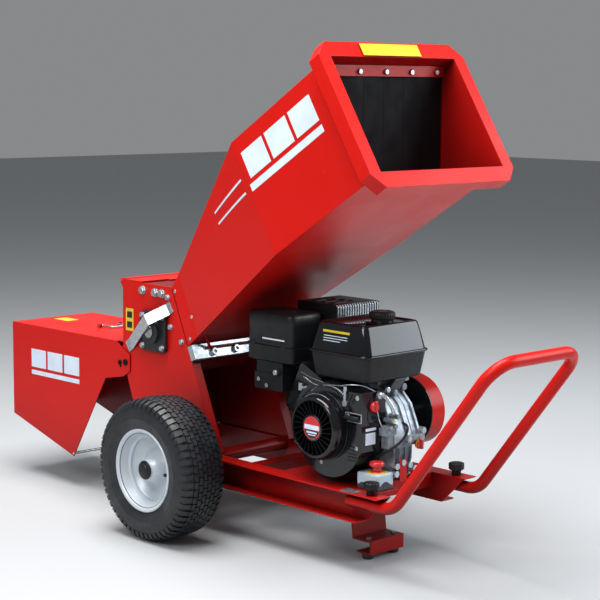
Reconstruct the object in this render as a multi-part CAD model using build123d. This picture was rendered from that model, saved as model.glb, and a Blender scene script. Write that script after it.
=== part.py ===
from build123d import *
from math import acos, atan2, cos, degrees, hypot, radians, sin, tan
import os

# Petrol wood chipper on a two-wheeled chassis, in millimetres.
# +X runs towards the pull handle, -Y is the side with the recoil starter, +Z is up.
# The origin lies on the ground under the middle of the machine.

os.makedirs("parts", exist_ok=True)

# --- wheels and axle ---
axle_x = -57
axle_z = 200
axle_radius = 12.5
wheel_y = 325
tyre_radius = 200
tyre_half_width = 75
rim_seat_radius = 103
rim_flange_radius = 115
hub_radius = 24
running_gap = 0.05

# --- chassis ---
rail_web_y = 143
rail_edge_y = 192
rail_bottom = 138
rail_top = 215
rail_rear_x = -430
rail_front_top_x = 646
rail_front_bottom_x = 567
rail_sheet = 4
tray_rear_x = 248
tray_front_x = 531
foot_x = 478
foot_y = 48
foot_height = 14.5

# --- pull handle ---
handle_radius = 16
handle_y = 166
handle_leg_z = 188
handle_bend_x = 674
handle_bar_x = 998
handle_bar_z = 604
clamp_x = 598

# --- rotor housing ---
rotor_x = -289
rotor_z = 539
rotor_tip_radius = 125
casing_radius = 129
side_inner_y = 152
side_outer_y = 157
housing_top = 675
housing_front_x = -13
housing_lean = 200 / 457
bearing_face_y = 179.5
shaft_radius = 17.5

# --- discharge chute ---
chute_pivot_x = -425
chute_pivot_z = 430
chute_end_x = -1016
chute_top = 490
chute_inner_y = 157.5
chute_sheet = 3
chute_lift = 20

# --- feed hopper ---
throat_half_width = 154
duct_half_width = 233
hopper_sheet = 3
mouth_low = (680, 1043)
mouth_high = (501, 1328)
crease_low = (309, 814)
crease_high = (136, 1102)
flare_low = (-96, 545)
flare_high = (-181, 715)
throat_low_z = 511
rim_width = 546
rim_height = 418
rim_corner = 38
rim_skirt = 40
curtain_x = 466.5
curtain_top = 1301
curtain_bottom = 930

# --- engine and drive ---
crank_x = 408
crank_z = 364
cylinder_tilt = 155
block_near_y = -60
block_far_y = 105
fan_radius = 117
rotor_pulley_radius = 80
engine_pulley_radius = 62
belt_y = (192, 204)
belt_width = 10
guard_near_y = 169
guard_far_y = 222
tank_x = 438
tank_y = -15
tank_floor_z = 489
tank_seam_z = 558
tank_top_z = 636


def box(x_low, x_high, y_low, y_high, z_low, z_high):
    """Block between two opposite corners."""
    size = Box(x_high - x_low, y_high - y_low, z_high - z_low)
    return Pos((x_low + x_high) / 2, (y_low + y_high) / 2, (z_low + z_high) / 2) * size


def rod_x(y, z, radius, x_low, x_high):
    """Round bar along X."""
    return Pos((x_low + x_high) / 2, y, z) * Rot(0, 90, 0) * Cylinder(radius, x_high - x_low)


def rod_y(x, z, radius, y_low, y_high):
    """Round bar along Y."""
    return Pos(x, (y_low + y_high) / 2, z) * Rot(90, 0, 0) * Cylinder(radius, y_high - y_low)


def rod_z(x, y, radius, z_low, z_high):
    """Round bar along Z."""
    return Pos(x, y, (z_low + z_high) / 2) * Cylinder(radius, z_high - z_low)


def plate(outline, y_low, y_high):
    """Flat plate with an outline of (x, z) corners, between two values of Y."""
    face = make_face(Polyline(*outline, close=True))
    return Pos(0, y_high, 0) * Rot(90, 0, 0) * extrude(face, y_high - y_low)


def folded_outline(points, thickness):
    """Corners of a strip of one thickness that follows a bent centre line."""
    left = []
    right = []
    last = len(points) - 1
    for index, (x, z) in enumerate(points):
        before = points[max(index - 1, 0)]
        after = points[min(index + 1, last)]
        heading_in = atan2(z - before[1], x - before[0]) if index > 0 else None
        heading_out = atan2(after[1] - z, after[0] - x) if index < last else heading_in
        heading_in = heading_out if heading_in is None else heading_in
        half_turn = (heading_out - heading_in) / 2
        reach = thickness / 2 / cos(half_turn)
        normal = heading_in + half_turn + radians(90)
        left.append((x + reach * cos(normal), z + reach * sin(normal)))
        right.append((x - reach * cos(normal), z - reach * sin(normal)))
    return left + right[::-1]


def folded_sheet(points, thickness, y_low, y_high):
    """Sheet folded along a centre line in XZ, between two values of Y."""
    return plate(folded_outline(points, thickness), y_low, y_high)


def turned(profile, x, z):
    """Body turned about a line along Y, from (radius, y) corners."""
    face = make_face(Polyline(*profile, close=True))
    return Pos(x, 0, z) * revolve(face, Axis.Y)


def far_copy(shape):
    """The same piece on the far side."""
    return mirror(shape, about=Plane.XZ)


def both_sides(shape):
    """Near and far copies of a near-side piece."""
    return shape + far_copy(shape)


def wrap(rotor_end, engine_end, y_low, y_high):
    """Two discs on the rotor and crank axes joined by straight tangents."""
    length = hypot(crank_x - rotor_x, crank_z - rotor_z)
    heading = atan2(crank_z - rotor_z, crank_x - rotor_x)
    lean = acos((rotor_end - engine_end) / length)
    corners = []
    for x, z, radius, side in (
        (rotor_x, rotor_z, rotor_end, 1),
        (crank_x, crank_z, engine_end, 1),
        (crank_x, crank_z, engine_end, -1),
        (rotor_x, rotor_z, rotor_end, -1),
    ):
        angle = heading + side * lean
        corners.append((x + radius * cos(angle), z + radius * sin(angle)))
    web = plate(corners, y_low, y_high)
    rotor_disc = rod_y(rotor_x, rotor_z, rotor_end, y_low, y_high)
    engine_disc = rod_y(crank_x, crank_z, engine_end, y_low, y_high)
    return web + rotor_disc + engine_disc


def front_edge_x(z):
    """X of the sloping front edge of the side plates at a height."""
    return housing_front_x - housing_lean * (z - rail_top)


def hex_head(across_flats, height):
    """Hexagon bolt head standing on its seat, axis +Z."""
    outline = RegularPolygon(across_flats / 2, 6, major_radius=False)
    return chamfer(extrude(outline, height).faces().sort_by(Axis.Z)[-1].edges(), height * 0.15)


def side_bolt(x, z, size, seat_y, shank_end_y):
    """Bolt along Y: head on the outer seat, washer under it, shank reaching inwards."""
    side = -1 if seat_y < 0 else 1
    washer = rod_y(x, z, size * 1.1, min(seat_y, seat_y + side * 2), max(seat_y, seat_y + side * 2))
    head = Pos(x, seat_y + side * 2, z) * Rot(-90 * side, 0, 0) * hex_head(size * 1.7, size * 0.65)
    shank = rod_y(x, z, size / 2, min(seat_y, shank_end_y), max(seat_y, shank_end_y))
    return washer + head + shank


# ---------------------------------------------------------------- wheels

tyre_profile = [
    (rim_seat_radius, -64),
    (rim_flange_radius, -64),
    (122, -71),
    (150, -tyre_half_width),
    (178, -73),
    (191, -65),
    (197, -48),
    (tyre_radius, -20),
    (tyre_radius, 20),
    (197, 48),
    (191, 65),
    (178, 73),
    (150, tyre_half_width),
    (122, 71),
    (rim_flange_radius, 64),
    (rim_seat_radius, 64),
    (rim_seat_radius, 56),
    (112, 58),
    (150, 67),
    (176, 65),
    (187, 46),
    (190, 0),
    (187, -46),
    (176, -65),
    (150, -67),
    (112, -58),
    (rim_seat_radius, -56),
]
tyre = turned(tyre_profile, 0, 0)
for groove_y in (-48, -24, 0, 24, 48):
    groove_depth = 5 if abs(groove_y) < 40 else 8
    groove = rod_y(0, 0, tyre_radius + 1, groove_y - 2, groove_y + 2)
    tyre -= groove - rod_y(0, 0, tyre_radius - groove_depth, groove_y - 3, groove_y + 3)

# Drop-centre rim barrel, and a dished disc on a hub tube inside it; outboard is -Y here.
rim_barrel = turned(
    [
        (rim_flange_radius, -67),
        (rim_flange_radius, -64),
        (rim_seat_radius, -64),
        (rim_seat_radius, -44),
        (88, -36),
        (88, 36),
        (rim_seat_radius, 44),
        (rim_seat_radius, 64),
        (rim_flange_radius, 64),
        (rim_flange_radius, 67),
        (100, 67),
        (100, 42),
        (85, 34),
        (85, -34),
        (100, -42),
        (100, -67),
    ],
    0,
    0,
)
disc_radius = 84.9
rim_disc = turned(
    [
        (disc_radius, -4),
        (62, -4),
        (52, -10),
        (36, -42),
        (hub_radius - 2, -46),
        (hub_radius - 2, -42),
        (33, -38),
        (49, -6),
        (60, 0),
        (disc_radius, 0),
    ],
    0,
    0,
)
hub_tube = turned(
    [
        (20, -56),
        (hub_radius, -56),
        (hub_radius, 48),
        (axle_radius + running_gap, 48),
        (axle_radius + running_gap, -48),
        (20, -48),
    ],
    0,
    0,
)
rim = Compound(children=[rim_barrel, rim_disc + hub_tube])
hub_cap = turned(
    [(0, -66), (15, -66), (18, -63), (18, -61), (26, -61), (26, -56), (0, -56)],
    0,
    0,
)
near_wheel = Pos(axle_x, -wheel_y, axle_z)
near_tyre = near_wheel * tyre
near_rim = near_wheel * rim
near_hub_cap = near_wheel * hub_cap
axle = rod_y(axle_x, axle_z, axle_radius, -wheel_y, wheel_y)
for side in (-1, 1):
    outer_end = side * (wheel_y + 54)
    hub_step = side * (wheel_y + 48.3)
    spacer_end = side * (wheel_y - 48.3)
    axle += rod_y(axle_x, axle_z, axle_radius, min(0, outer_end), max(0, outer_end))
    axle += rod_y(axle_x, axle_z, 19.5, min(hub_step, outer_end), max(hub_step, outer_end))
    spacer_start = side * 200
    axle += rod_y(axle_x, axle_z, 18, min(spacer_start, spacer_end), max(spacer_start, spacer_end))

# ---------------------------------------------------------------- chassis

web = plate(
    [
        (rail_rear_x, rail_bottom),
        (rail_rear_x, rail_top),
        (rail_front_top_x, rail_top),
        (rail_front_bottom_x, rail_bottom),
    ],
    -rail_web_y - rail_sheet,
    -rail_web_y,
)
top_flange = plate(
    [
        (rail_rear_x, rail_top - rail_sheet),
        (rail_rear_x, rail_top),
        (rail_front_top_x, rail_top),
        (rail_front_top_x - rail_sheet, rail_top - rail_sheet),
    ],
    -rail_edge_y,
    -rail_web_y - rail_sheet,
)
bottom_flange = box(
    rail_rear_x,
    rail_front_bottom_x,
    -rail_edge_y,
    -rail_web_y - rail_sheet,
    rail_bottom,
    rail_bottom + rail_sheet,
)
axle_block = box(
    axle_x - 40,
    axle_x + 40,
    -200,
    -rail_web_y - rail_sheet,
    rail_bottom + rail_sheet,
    rail_top - rail_sheet,
)
# Saddle over the far upper quarter of the handle's tube.
clamp_block = box(
    clamp_x - 23,
    clamp_x + 14,
    -handle_y,
    -rail_web_y - rail_sheet,
    handle_leg_z,
    rail_top - rail_sheet,
)
near_rail = web + top_flange + bottom_flange + axle_block + clamp_block
near_rail -= rod_y(axle_x, axle_z, axle_radius, -201, -rail_web_y + 1)
near_rail -= rod_x(-handle_y, handle_leg_z, handle_radius + running_gap, clamp_x - 24, clamp_x + 15)
near_rail -= rod_z(clamp_x, -handle_y, 5.3, handle_leg_z, rail_top + 1)
far_rail = far_copy(near_rail)

cross_members = Part()
for member_x in (-395, 90):
    tube = box(member_x - 20, member_x + 20, -rail_web_y, rail_web_y, 160, 200)
    tube -= box(member_x - 17, member_x + 17, -rail_web_y - 1, rail_web_y + 1, 163, 197)
    cross_members += tube

# Engine tray with a front lip, a tab for the stop switch and two raised engine bars.
engine_plate = box(
    tray_rear_x, tray_front_x, -rail_web_y, rail_web_y, rail_top - rail_sheet, rail_top
)
engine_plate += box(
    tray_front_x - rail_sheet, tray_front_x, -rail_web_y + 1, rail_web_y - 1, 175, rail_top
)
engine_plate += box(
    tray_front_x - 1, 596, -rail_web_y, -66, rail_top - rail_sheet, rail_top
)
for bar_y in (-40, 84):
    engine_plate += box(300, 520, bar_y - 19, bar_y + 19, rail_top, 232)

# Folded stand under the tray.
support_leg = folded_sheet(
    [(375, 208.5), (417, 208.5), (436, 50), (500, 50), (500, 17), (452, 17)], 5, -64, 64
)
rubber_feet = Part()
for side in (-1, 1):
    foot = rod_z(foot_x, side * foot_y, 16, 0, foot_height)
    rubber_feet += chamfer(foot.faces().sort_by(Axis.Z)[0].edges(), 2)

# ---------------------------------------------------------------- pull handle

handle_path = FilletPolyline(
    (520, -handle_y, handle_leg_z),
    (handle_bend_x, -handle_y, handle_leg_z),
    (handle_bar_x, -handle_y, handle_bar_z),
    (handle_bar_x, handle_y, handle_bar_z),
    (handle_bend_x, handle_y, handle_leg_z),
    (520, handle_y, handle_leg_z),
    radius=70,
)
tube_section = Plane(origin=(520, -handle_y, handle_leg_z), z_dir=(1, 0, 0)) * (
    Circle(handle_radius) - Circle(handle_radius - 2.5)
)
handlebar = sweep(tube_section, path=handle_path)

stem_end_z = handle_leg_z + handle_radius + 6.5
clamp_knob = rod_z(clamp_x, -handle_y, 5, stem_end_z, rail_top + 12)
clamp_knob += rod_z(clamp_x, -handle_y, 13, rail_top + 0.3, rail_top + 16)
knob_head = rod_z(clamp_x, -handle_y, 20, rail_top + 16, rail_top + 34)
for lobe in range(6):
    lobe_angle = radians(60 * lobe)
    lobe_x = clamp_x + 18 * cos(lobe_angle)
    lobe_y = -handle_y + 18 * sin(lobe_angle)
    knob_head += rod_z(lobe_x, lobe_y, 6.5, rail_top + 16, rail_top + 34)
near_clamp_knob = clamp_knob + knob_head
far_clamp_knob = far_copy(near_clamp_knob)

# ---------------------------------------------------------------- stop switch

estop_x = 559
estop_y = -105
estop_base = box(515, 589, -135, -72, rail_top, 232)
estop_cover = box(515, 589, -135, -72, 232, 258)
estop_cover = fillet(estop_cover.edges().filter_by(Axis.Z), 4)
estop_cover -= rod_z(estop_x, estop_y, 9.3, 236, 259)
estop_button = rod_z(estop_x, estop_y, 9, 243, 270)
mushroom = rod_z(estop_x, estop_y, 20, 269, 288)
estop_button += fillet(mushroom.faces().sort_by(Axis.Z)[-1].edges(), 6)

# ---------------------------------------------------------------- rotor housing

side_outline = [
    (-440, housing_top),
    (-440, 480),
    (-470, 465),
    (-470, 405),
    (-422, 392),
    (-355, rail_top),
    (housing_front_x, rail_top),
    (front_edge_x(housing_top), housing_top),
]
near_side_plate = plate(side_outline, -side_outer_y, -side_inner_y)
lip_low = (front_edge_x(220) - 2.5, 219)
lip_high = (front_edge_x(462) - 2.5, 461)
near_side_plate += folded_sheet([lip_low, lip_high], 5, -side_inner_y, -side_inner_y + 25)

large_bolts = [(-344, 655), (-286, 653), (-256, 653)]
small_bolts = [(-229, 644), (-216, 559), (-166, 521)]
bearing_bolt_reach = 45
bearing_flange_y = 167
shank_end_y = -side_inner_y + 3
plate_bolts = Part()
for x, z in large_bolts:
    plate_bolts += side_bolt(x, z, 12, -side_outer_y, shank_end_y)
for x, z in small_bolts:
    plate_bolts += side_bolt(x, z, 8, -side_outer_y, shank_end_y)
for step_x, step_z in ((-1, -1), (-1, 1), (1, -1), (1, 1)):
    bolt_x = rotor_x + step_x * bearing_bolt_reach
    bolt_z = rotor_z + step_z * bearing_bolt_reach
    plate_bolts += side_bolt(bolt_x, bolt_z, 8, -bearing_flange_y, shank_end_y)
slot_bolt_x = chute_pivot_x - 27
slot_bolt_z = chute_pivot_z - 3
chute_seat_y = -chute_inner_y - chute_sheet - 0.3


def low_head_bolt(x, z, radius, seat_y):
    """Bolt along Y with a flat round head, twice as wide as its shank needs."""
    shank = rod_y(x, z, radius, seat_y, shank_end_y)
    return shank + rod_y(x, z, radius + 3, seat_y - 2.5, seat_y)


chute_pivot_bolt = low_head_bolt(chute_pivot_x, chute_pivot_z, 6, chute_seat_y)
chute_slot_bolt = low_head_bolt(slot_bolt_x, slot_bolt_z, 4, chute_seat_y)
plate_bolts += chute_pivot_bolt + chute_slot_bolt
near_side_plate -= plate_bolts
near_side_plate -= rod_y(rotor_x, rotor_z, shaft_radius + 2, -side_outer_y - 1, -side_inner_y + 1)
far_side_plate = far_copy(near_side_plate)

# Lower casing: an arc under the rotor, a shelf for the bed knife and a ramp to the chute.
rotor_ring = rod_y(rotor_x, rotor_z, casing_radius + 4, -side_inner_y, side_inner_y)
rotor_ring -= rod_y(rotor_x, rotor_z, casing_radius, -side_inner_y - 1, side_inner_y + 1)
arc_start = radians(-16.5)
arc_end = radians(-95)
wedge = [
    (rotor_x, rotor_z),
    (rotor_x + 200 * cos(arc_start), rotor_z + 200 * sin(arc_start)),
    (rotor_x + 250 * cos(radians(-55)), rotor_z + 250 * sin(radians(-55))),
    (rotor_x + 200 * cos(arc_end), rotor_z + 200 * sin(arc_end)),
]
casing_arc = rotor_ring & plate(wedge, -side_inner_y, side_inner_y)
casing_arc += plate(
    [(-165.5, 502), (front_edge_x(502), 502), (front_edge_x(496), 496), (-163.5, 496)],
    -side_inner_y,
    side_inner_y,
)
casing_arc += folded_sheet([(-299, 408.4), (-424, 396)], 4, -side_inner_y, side_inner_y)

# Frame round the top opening: rear wall, two ledges and the strip up to the hopper.
cover_frame = folded_sheet([(-437.4, 671), (-437.4, 503)], 4, -side_inner_y, side_inner_y)
cover_frame += box(
    -439.4, front_edge_x(housing_top), -side_inner_y, side_inner_y, 671, housing_top
)
cover_frame -= box(-420, -346, -132, 132, 670, housing_top + 1)
rotor_casing = Compound(children=[casing_arc, cover_frame])

anvil_back_low = (front_edge_x(470), 470)
anvil_back_high = (front_edge_x(509), 509)
anvil_normal_x = 20 * cos(atan2(200, 457))
anvil_normal_z = 20 * sin(atan2(200, 457))
anvil_bar = plate(
    [
        anvil_back_low,
        anvil_back_high,
        (anvil_back_high[0] + anvil_normal_x, anvil_back_high[1] + anvil_normal_z),
        (anvil_back_low[0] + anvil_normal_x, anvil_back_low[1] + anvil_normal_z),
    ],
    -side_outer_y,
    side_outer_y,
)
anvil_screws = Part()
anvil_tilt = degrees(atan2(200, 457))
anvil_seat_z = 483
anvil_seat_x = front_edge_x(anvil_seat_z) + anvil_normal_x
for screw_y in (-84, 0, 84):
    screw = Cylinder(10.5, 10) - Pos(0, 0, -1) * extrude(RegularPolygon(6, 6), 10)
    screw_seat = Pos(anvil_seat_x, screw_y, anvil_seat_z + anvil_normal_z)
    anvil_screws += screw_seat * Rot(0, 90 - anvil_tilt, 0) * Pos(0, 0, 5) * screw
knife_edge_x = rotor_x + (126**2 - (510 - rotor_z) ** 2) ** 0.5
bed_knife = plate(
    [(knife_edge_x, 510), (front_edge_x(510), 510), (front_edge_x(502), 502), (-158, 502)],
    -side_inner_y,
    side_inner_y,
)

bearing = box(-58, 58, -bearing_flange_y, -side_outer_y, -58, 58)
bearing = fillet(bearing.edges().filter_by(Axis.Y), 14)
bearing = Pos(rotor_x, 0, rotor_z) * bearing
bearing += rod_y(rotor_x, rotor_z, 36, -bearing_face_y, -side_outer_y)
bearing -= rod_y(rotor_x, rotor_z, shaft_radius + running_gap, -bearing_face_y - 1, -side_outer_y + 1)
bearing -= plate_bolts
bearing_housings = both_sides(bearing)

# Top access cover with a rolled knuckle on its rear edge, and the pin it turns on.
hinge_x = -447
hinge_z = 676
hinge_radius = 5.5
pin_radius = 2.5
lid_top = 680
cover_hinge_pin = rod_y(hinge_x, hinge_z, pin_radius, -side_inner_y - 4, side_inner_y + 4)
for side in (-1, 1):
    lug_low = side * 154 - 2
    lug_high = side * 154 + 2
    lug = rod_y(hinge_x, hinge_z, hinge_radius, lug_low, lug_high)
    lug += plate(
        [
            (hinge_x - hinge_radius, hinge_z),
            (hinge_x + hinge_radius, hinge_z),
            (-440, hinge_z - 6),
            (-440, 650),
            (hinge_x - hinge_radius, hinge_z - 6),
        ],
        lug_low,
        lug_high,
    )
    lug -= rod_y(hinge_x, hinge_z, pin_radius, lug_low - 1, lug_high + 1)
    if side < 0:
        near_side_plate += lug
    else:
        far_side_plate += lug
lid = box(-439.5, -349, -side_outer_y, side_outer_y, housing_top + 0.4, lid_top)
lid += box(-350, -334, -60, side_outer_y, housing_top + 0.4, lid_top)
lid -= rod_y(hinge_x, hinge_z, hinge_radius + 0.6, -160, 160)
knuckle = rod_y(hinge_x, hinge_z, hinge_radius, -150, 150)
knuckle += box(hinge_x, -430, -150, 150, lid_top - 2.5, hinge_z + hinge_radius)
top_cover = lid + knuckle - rod_y(hinge_x, hinge_z, pin_radius + running_gap, -151, 151)

# Bent strap over the near bearing.
strap_start = (-224, 611)
strap_finish = (-408, 483)
strap_length = hypot(strap_finish[0] - strap_start[0], strap_finish[1] - strap_start[1])
strap_turn = degrees(atan2(strap_start[1] - strap_finish[1], strap_start[0] - strap_finish[0]))
strap_seat_y = -side_outer_y - 1.5
strap_line = [
    (-14, strap_seat_y),
    (4, strap_seat_y),
    (58, -203),
    (strap_length - 10, strap_seat_y),
    (strap_length + 10, strap_seat_y),
]
strap_face = make_face(Polyline(*folded_outline(strap_line, 3), close=True))
strap = Rot(0, 180 - strap_turn, 0) * extrude(strap_face, 17, both=True)
shaft_guard = Pos(strap_start[0], 0, strap_start[1]) * strap

# ---------------------------------------------------------------- feed hopper


seam_gap = 3.5
throat_low = (front_edge_x(throat_low_z) + seam_gap, throat_low_z)
throat_high = (front_edge_x(housing_top) + seam_gap, housing_top)


def duct_section(low, high, half_width, inset):
    """Rectangular section across the hopper between a low and a high point."""
    reach = hypot(high[0] - low[0], high[1] - low[1])
    step_x = inset * (high[0] - low[0]) / reach
    step_z = inset * (high[1] - low[1]) / reach
    side = half_width - inset
    corners = [
        (low[0] + step_x, -side, low[1] + step_z),
        (low[0] + step_x, side, low[1] + step_z),
        (high[0] - step_x, side, high[1] - step_z),
        (high[0] - step_x, -side, high[1] - step_z),
    ]
    return make_face(Polyline(*corners, close=True))


def duct(inset):
    """Solid hopper passage, from the housing to the mouth, drawn in by an inset."""
    sections = [
        duct_section(throat_low, throat_high, throat_half_width + hopper_sheet, inset),
        duct_section(flare_low, flare_high, throat_half_width + hopper_sheet, inset),
        duct_section(crease_low, crease_high, duct_half_width + hopper_sheet, inset),
        duct_section(mouth_low, mouth_high, duct_half_width + hopper_sheet, inset),
    ]
    passage = Part()
    for section, following in zip(sections, sections[1:]):
        passage += loft([section, following], ruled=True)
    return passage


hopper_funnel = duct(0) - duct(hopper_sheet)


def seam_strip(start, finish, y_low, y_high):
    """Strip along the front edge of the side plates, between two distances ahead of it."""
    corners = []
    for step, z in ((start, 516), (start, 667), (finish, 667), (finish, 516)):
        corners.append((front_edge_x(z) + step, z))
    return plate(corners, y_low, y_high)


# Flanges inside the side plates, which hold the hopper and leave a seam outside.
hopper_flange = seam_strip(-12, 10, -side_inner_y, -side_inner_y + 3)
hopper_flange += seam_strip(seam_gap, 10, -throat_half_width, -side_inner_y + 3)
hopper_funnel += both_sides(hopper_flange)

mouth_x = (mouth_low[0] + mouth_high[0]) / 2
mouth_z = (mouth_low[1] + mouth_high[1]) / 2
mouth_height = hypot(mouth_high[0] - mouth_low[0], mouth_high[1] - mouth_low[1])
mouth_normal = (mouth_high[1] - mouth_low[1], 0, mouth_low[0] - mouth_high[0])
mouth_plane = Plane(origin=(mouth_x, 0, mouth_z), x_dir=(0, 1, 0), z_dir=mouth_normal)


def rim_outline(width, height, corner):
    """Rectangle with cut corners, in the plane of the hopper mouth."""
    half_w = width / 2
    half_h = height / 2
    points = [
        (half_w, half_h - corner),
        (half_w - corner, half_h),
        (corner - half_w, half_h),
        (-half_w, half_h - corner),
        (-half_w, corner - half_h),
        (corner - half_w, -half_h),
        (half_w - corner, -half_h),
        (half_w, corner - half_h),
    ]
    return make_face(Polyline(*points, close=True))


rim_face = extrude(
    rim_outline(rim_width, rim_height, rim_corner)
    - Rectangle(2 * duct_half_width, mouth_height - 2 * hopper_sheet),
    3,
)
rim_skirt_ring = Pos(0, 0, 3 - rim_skirt) * extrude(
    rim_outline(rim_width, rim_height, rim_corner)
    - rim_outline(rim_width - 6, rim_height - 6, rim_corner - 1.8),
    rim_skirt,
)
hopper_rim = mouth_plane * (rim_face + rim_skirt_ring)

# Curtain clamp bar under the hopper roof, and the slit rubber curtain behind it.
roof_slope = (mouth_high[1] - crease_high[1]) / (mouth_high[0] - crease_high[0])
roof_at_bar = crease_high[1] + roof_slope * (curtain_x + 5.5 - crease_high[0]) - 4.4
curtain_bar = plate(
    [
        (curtain_x + 3.5, 1278),
        (curtain_x + 7.5, 1278),
        (curtain_x + 7.5, roof_at_bar + 2 * roof_slope),
        (curtain_x + 3.5, roof_at_bar - 2 * roof_slope),
    ],
    -duct_half_width + 4,
    duct_half_width - 4,
)
curtain = box(
    curtain_x - 1.5, curtain_x + 1.5, -226, 226, curtain_bottom, curtain_top
)
for strip in range(1, 6):
    slit_y = -226 + strip * 452 / 6
    curtain -= box(
        curtain_x - 3, curtain_x + 3, slit_y - 1, slit_y + 1, curtain_bottom - 1, 1262
    )

# ---------------------------------------------------------------- discharge chute

panel_outline = [
    (chute_end_x, chute_top),
    (-470, chute_top),
    (-440, 470),
    (-405, 455),
    (-405, 405),
    (-440, 385),
    (-525, 369),
    (-691, 99),
    (chute_end_x, 190),
]
chute_outer_y = chute_inner_y + chute_sheet
panel = plate(panel_outline, -chute_outer_y, -chute_inner_y)
panel -= rod_y(chute_pivot_x, chute_pivot_z, 6.3, -chute_outer_y - 1, -chute_inner_y + 1)
slot_start = atan2(slot_bolt_z - chute_pivot_z, slot_bolt_x - chute_pivot_x)
slot_radius = hypot(slot_bolt_x - chute_pivot_x, slot_bolt_z - chute_pivot_z)
for step in range(-4, 17):
    slot_angle = slot_start + radians(step * (chute_lift + 4) / 16)
    slot_x = chute_pivot_x + slot_radius * cos(slot_angle)
    slot_z = chute_pivot_z + slot_radius * sin(slot_angle)
    panel -= rod_y(slot_x, slot_z, 4.4, -chute_outer_y - 1, -chute_inner_y + 1)
rod_x_low = -690
rod_z_low = 108
panel -= rod_y(rod_x_low, rod_z_low, 4, -chute_outer_y - 1, -chute_inner_y + 1)
chute_hood = both_sides(panel)
# The top sheet narrows beside the housing, so that it can rise between the side plates.
chute_hood += box(
    chute_end_x, -466, -chute_outer_y, chute_outer_y, chute_top - chute_sheet, chute_top
)
tongue_y = side_inner_y - 1
chute_hood += box(-467, -447, -tongue_y, tongue_y, chute_top - chute_sheet, chute_top)
chute_hood += box(
    chute_end_x, chute_end_x + chute_sheet, -chute_outer_y, chute_outer_y, 190, chute_top
)
chute_rod = rod_y(rod_x_low, rod_z_low, 4, -chute_outer_y - 2, chute_outer_y + 2)

# Wire lifting loop on top of the chute, held by two small clips.
loop_x = -722
loop_y = 8
loop_z = chute_top + 5.5
for side in (-1, 1):
    clip_y = loop_y + side * 39
    clip = box(loop_x - 7, loop_x + 7, clip_y - 4, clip_y + 4, chute_top, chute_top + 10)
    chute_hood += clip - rod_y(loop_x, loop_z, 2.55, clip_y - 5, clip_y + 5)
loop_path = FilletPolyline(
    (loop_x, loop_y - 43, loop_z),
    (loop_x, loop_y - 28, loop_z),
    (loop_x + 48, loop_y - 28, loop_z),
    (loop_x + 48, loop_y + 28, loop_z),
    (loop_x, loop_y + 28, loop_z),
    (loop_x, loop_y + 43, loop_z),
    radius=6,
)
loop_section = Plane(origin=(loop_x, loop_y - 43, loop_z), z_dir=(0, 1, 0)) * Circle(2.5)
chute_handle = sweep(loop_section, path=loop_path)

# ---------------------------------------------------------------- rotor

rotor_shaft = rod_y(rotor_x, rotor_z, shaft_radius, -183, 216)
rotor_drum = rod_y(rotor_x, rotor_z, 96, -146, 146)
rotor_drum -= rod_y(rotor_x, rotor_z, 84, -134, 134)
rotor_drum -= rod_y(rotor_x, rotor_z, shaft_radius, -147, 147)
rotor_knives = Part()
for side in (-1, 1):
    knife_seat = Pos(rotor_x, 0, rotor_z) * Rot(0, 90 - 90 * side, 0)
    knife = knife_seat * (
        box(70, rotor_tip_radius - 0.5, -138, 138, 0, 8) + box(70, 92, -138, 138, 8, 20)
    )
    rotor_knives += knife
rotor_drum += rod_y(rotor_x, rotor_z, 90, -134, -128) - rod_y(rotor_x, rotor_z, 84, -135, -127)
rotor_drum -= rotor_knives


def grooved_pulley(outer_radius, bore_radius, x, z):
    """Two-groove belt pulley turned about Y."""
    pulley = rod_y(x, z, outer_radius, 187.5, 209.5)
    for middle in belt_y:
        low = middle - belt_width / 2 - 0.4
        high = middle + belt_width / 2 + 0.4
        groove = rod_y(x, z, outer_radius + 1, low, high) - rod_y(x, z, outer_radius - 10.3, low, high)
        pulley -= groove
    return pulley - rod_y(x, z, bore_radius, 187, 217)

rotor_pulley = grooved_pulley(rotor_pulley_radius, shaft_radius, rotor_x, rotor_z)

# ---------------------------------------------------------------- belt drive

drive_belts = Part()
for middle in belt_y:
    belt_low = middle - belt_width / 2
    belt_high = middle + belt_width / 2
    belt = wrap(rotor_pulley_radius - 2, engine_pulley_radius - 2, belt_low, belt_high)
    belt -= wrap(rotor_pulley_radius - 10, engine_pulley_radius - 10, belt_low - 1, belt_high + 1)
    drive_belts += belt

belt_guard = wrap(113, 97, guard_near_y + 3, guard_far_y)
belt_guard -= wrap(110, 94, guard_near_y + 2, guard_far_y - 3)
belt_guard_back = wrap(113, 97, guard_near_y, guard_near_y + 3)
belt_guard_back -= rod_y(rotor_x, rotor_z, 40, guard_near_y - 1, guard_near_y + 4)
belt_guard_back -= rod_y(crank_x, crank_z, 30, guard_near_y - 1, guard_near_y + 4)
belt_guard_back -= far_copy(plate_bolts)
belt_guard_back += box(250, 300, guard_near_y - 4, guard_near_y, rail_top, 340)
belt_guard_back += box(250, 300, guard_near_y - 12, guard_near_y, rail_top, rail_top + 4)

# ---------------------------------------------------------------- engine


def tilted(shape):
    """Place a shape, drawn with its axis along +X from the crank, on the cylinder axis."""
    return Pos(crank_x, 0, crank_z) * Rot(0, -cylinder_tilt, 0) * shape


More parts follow.
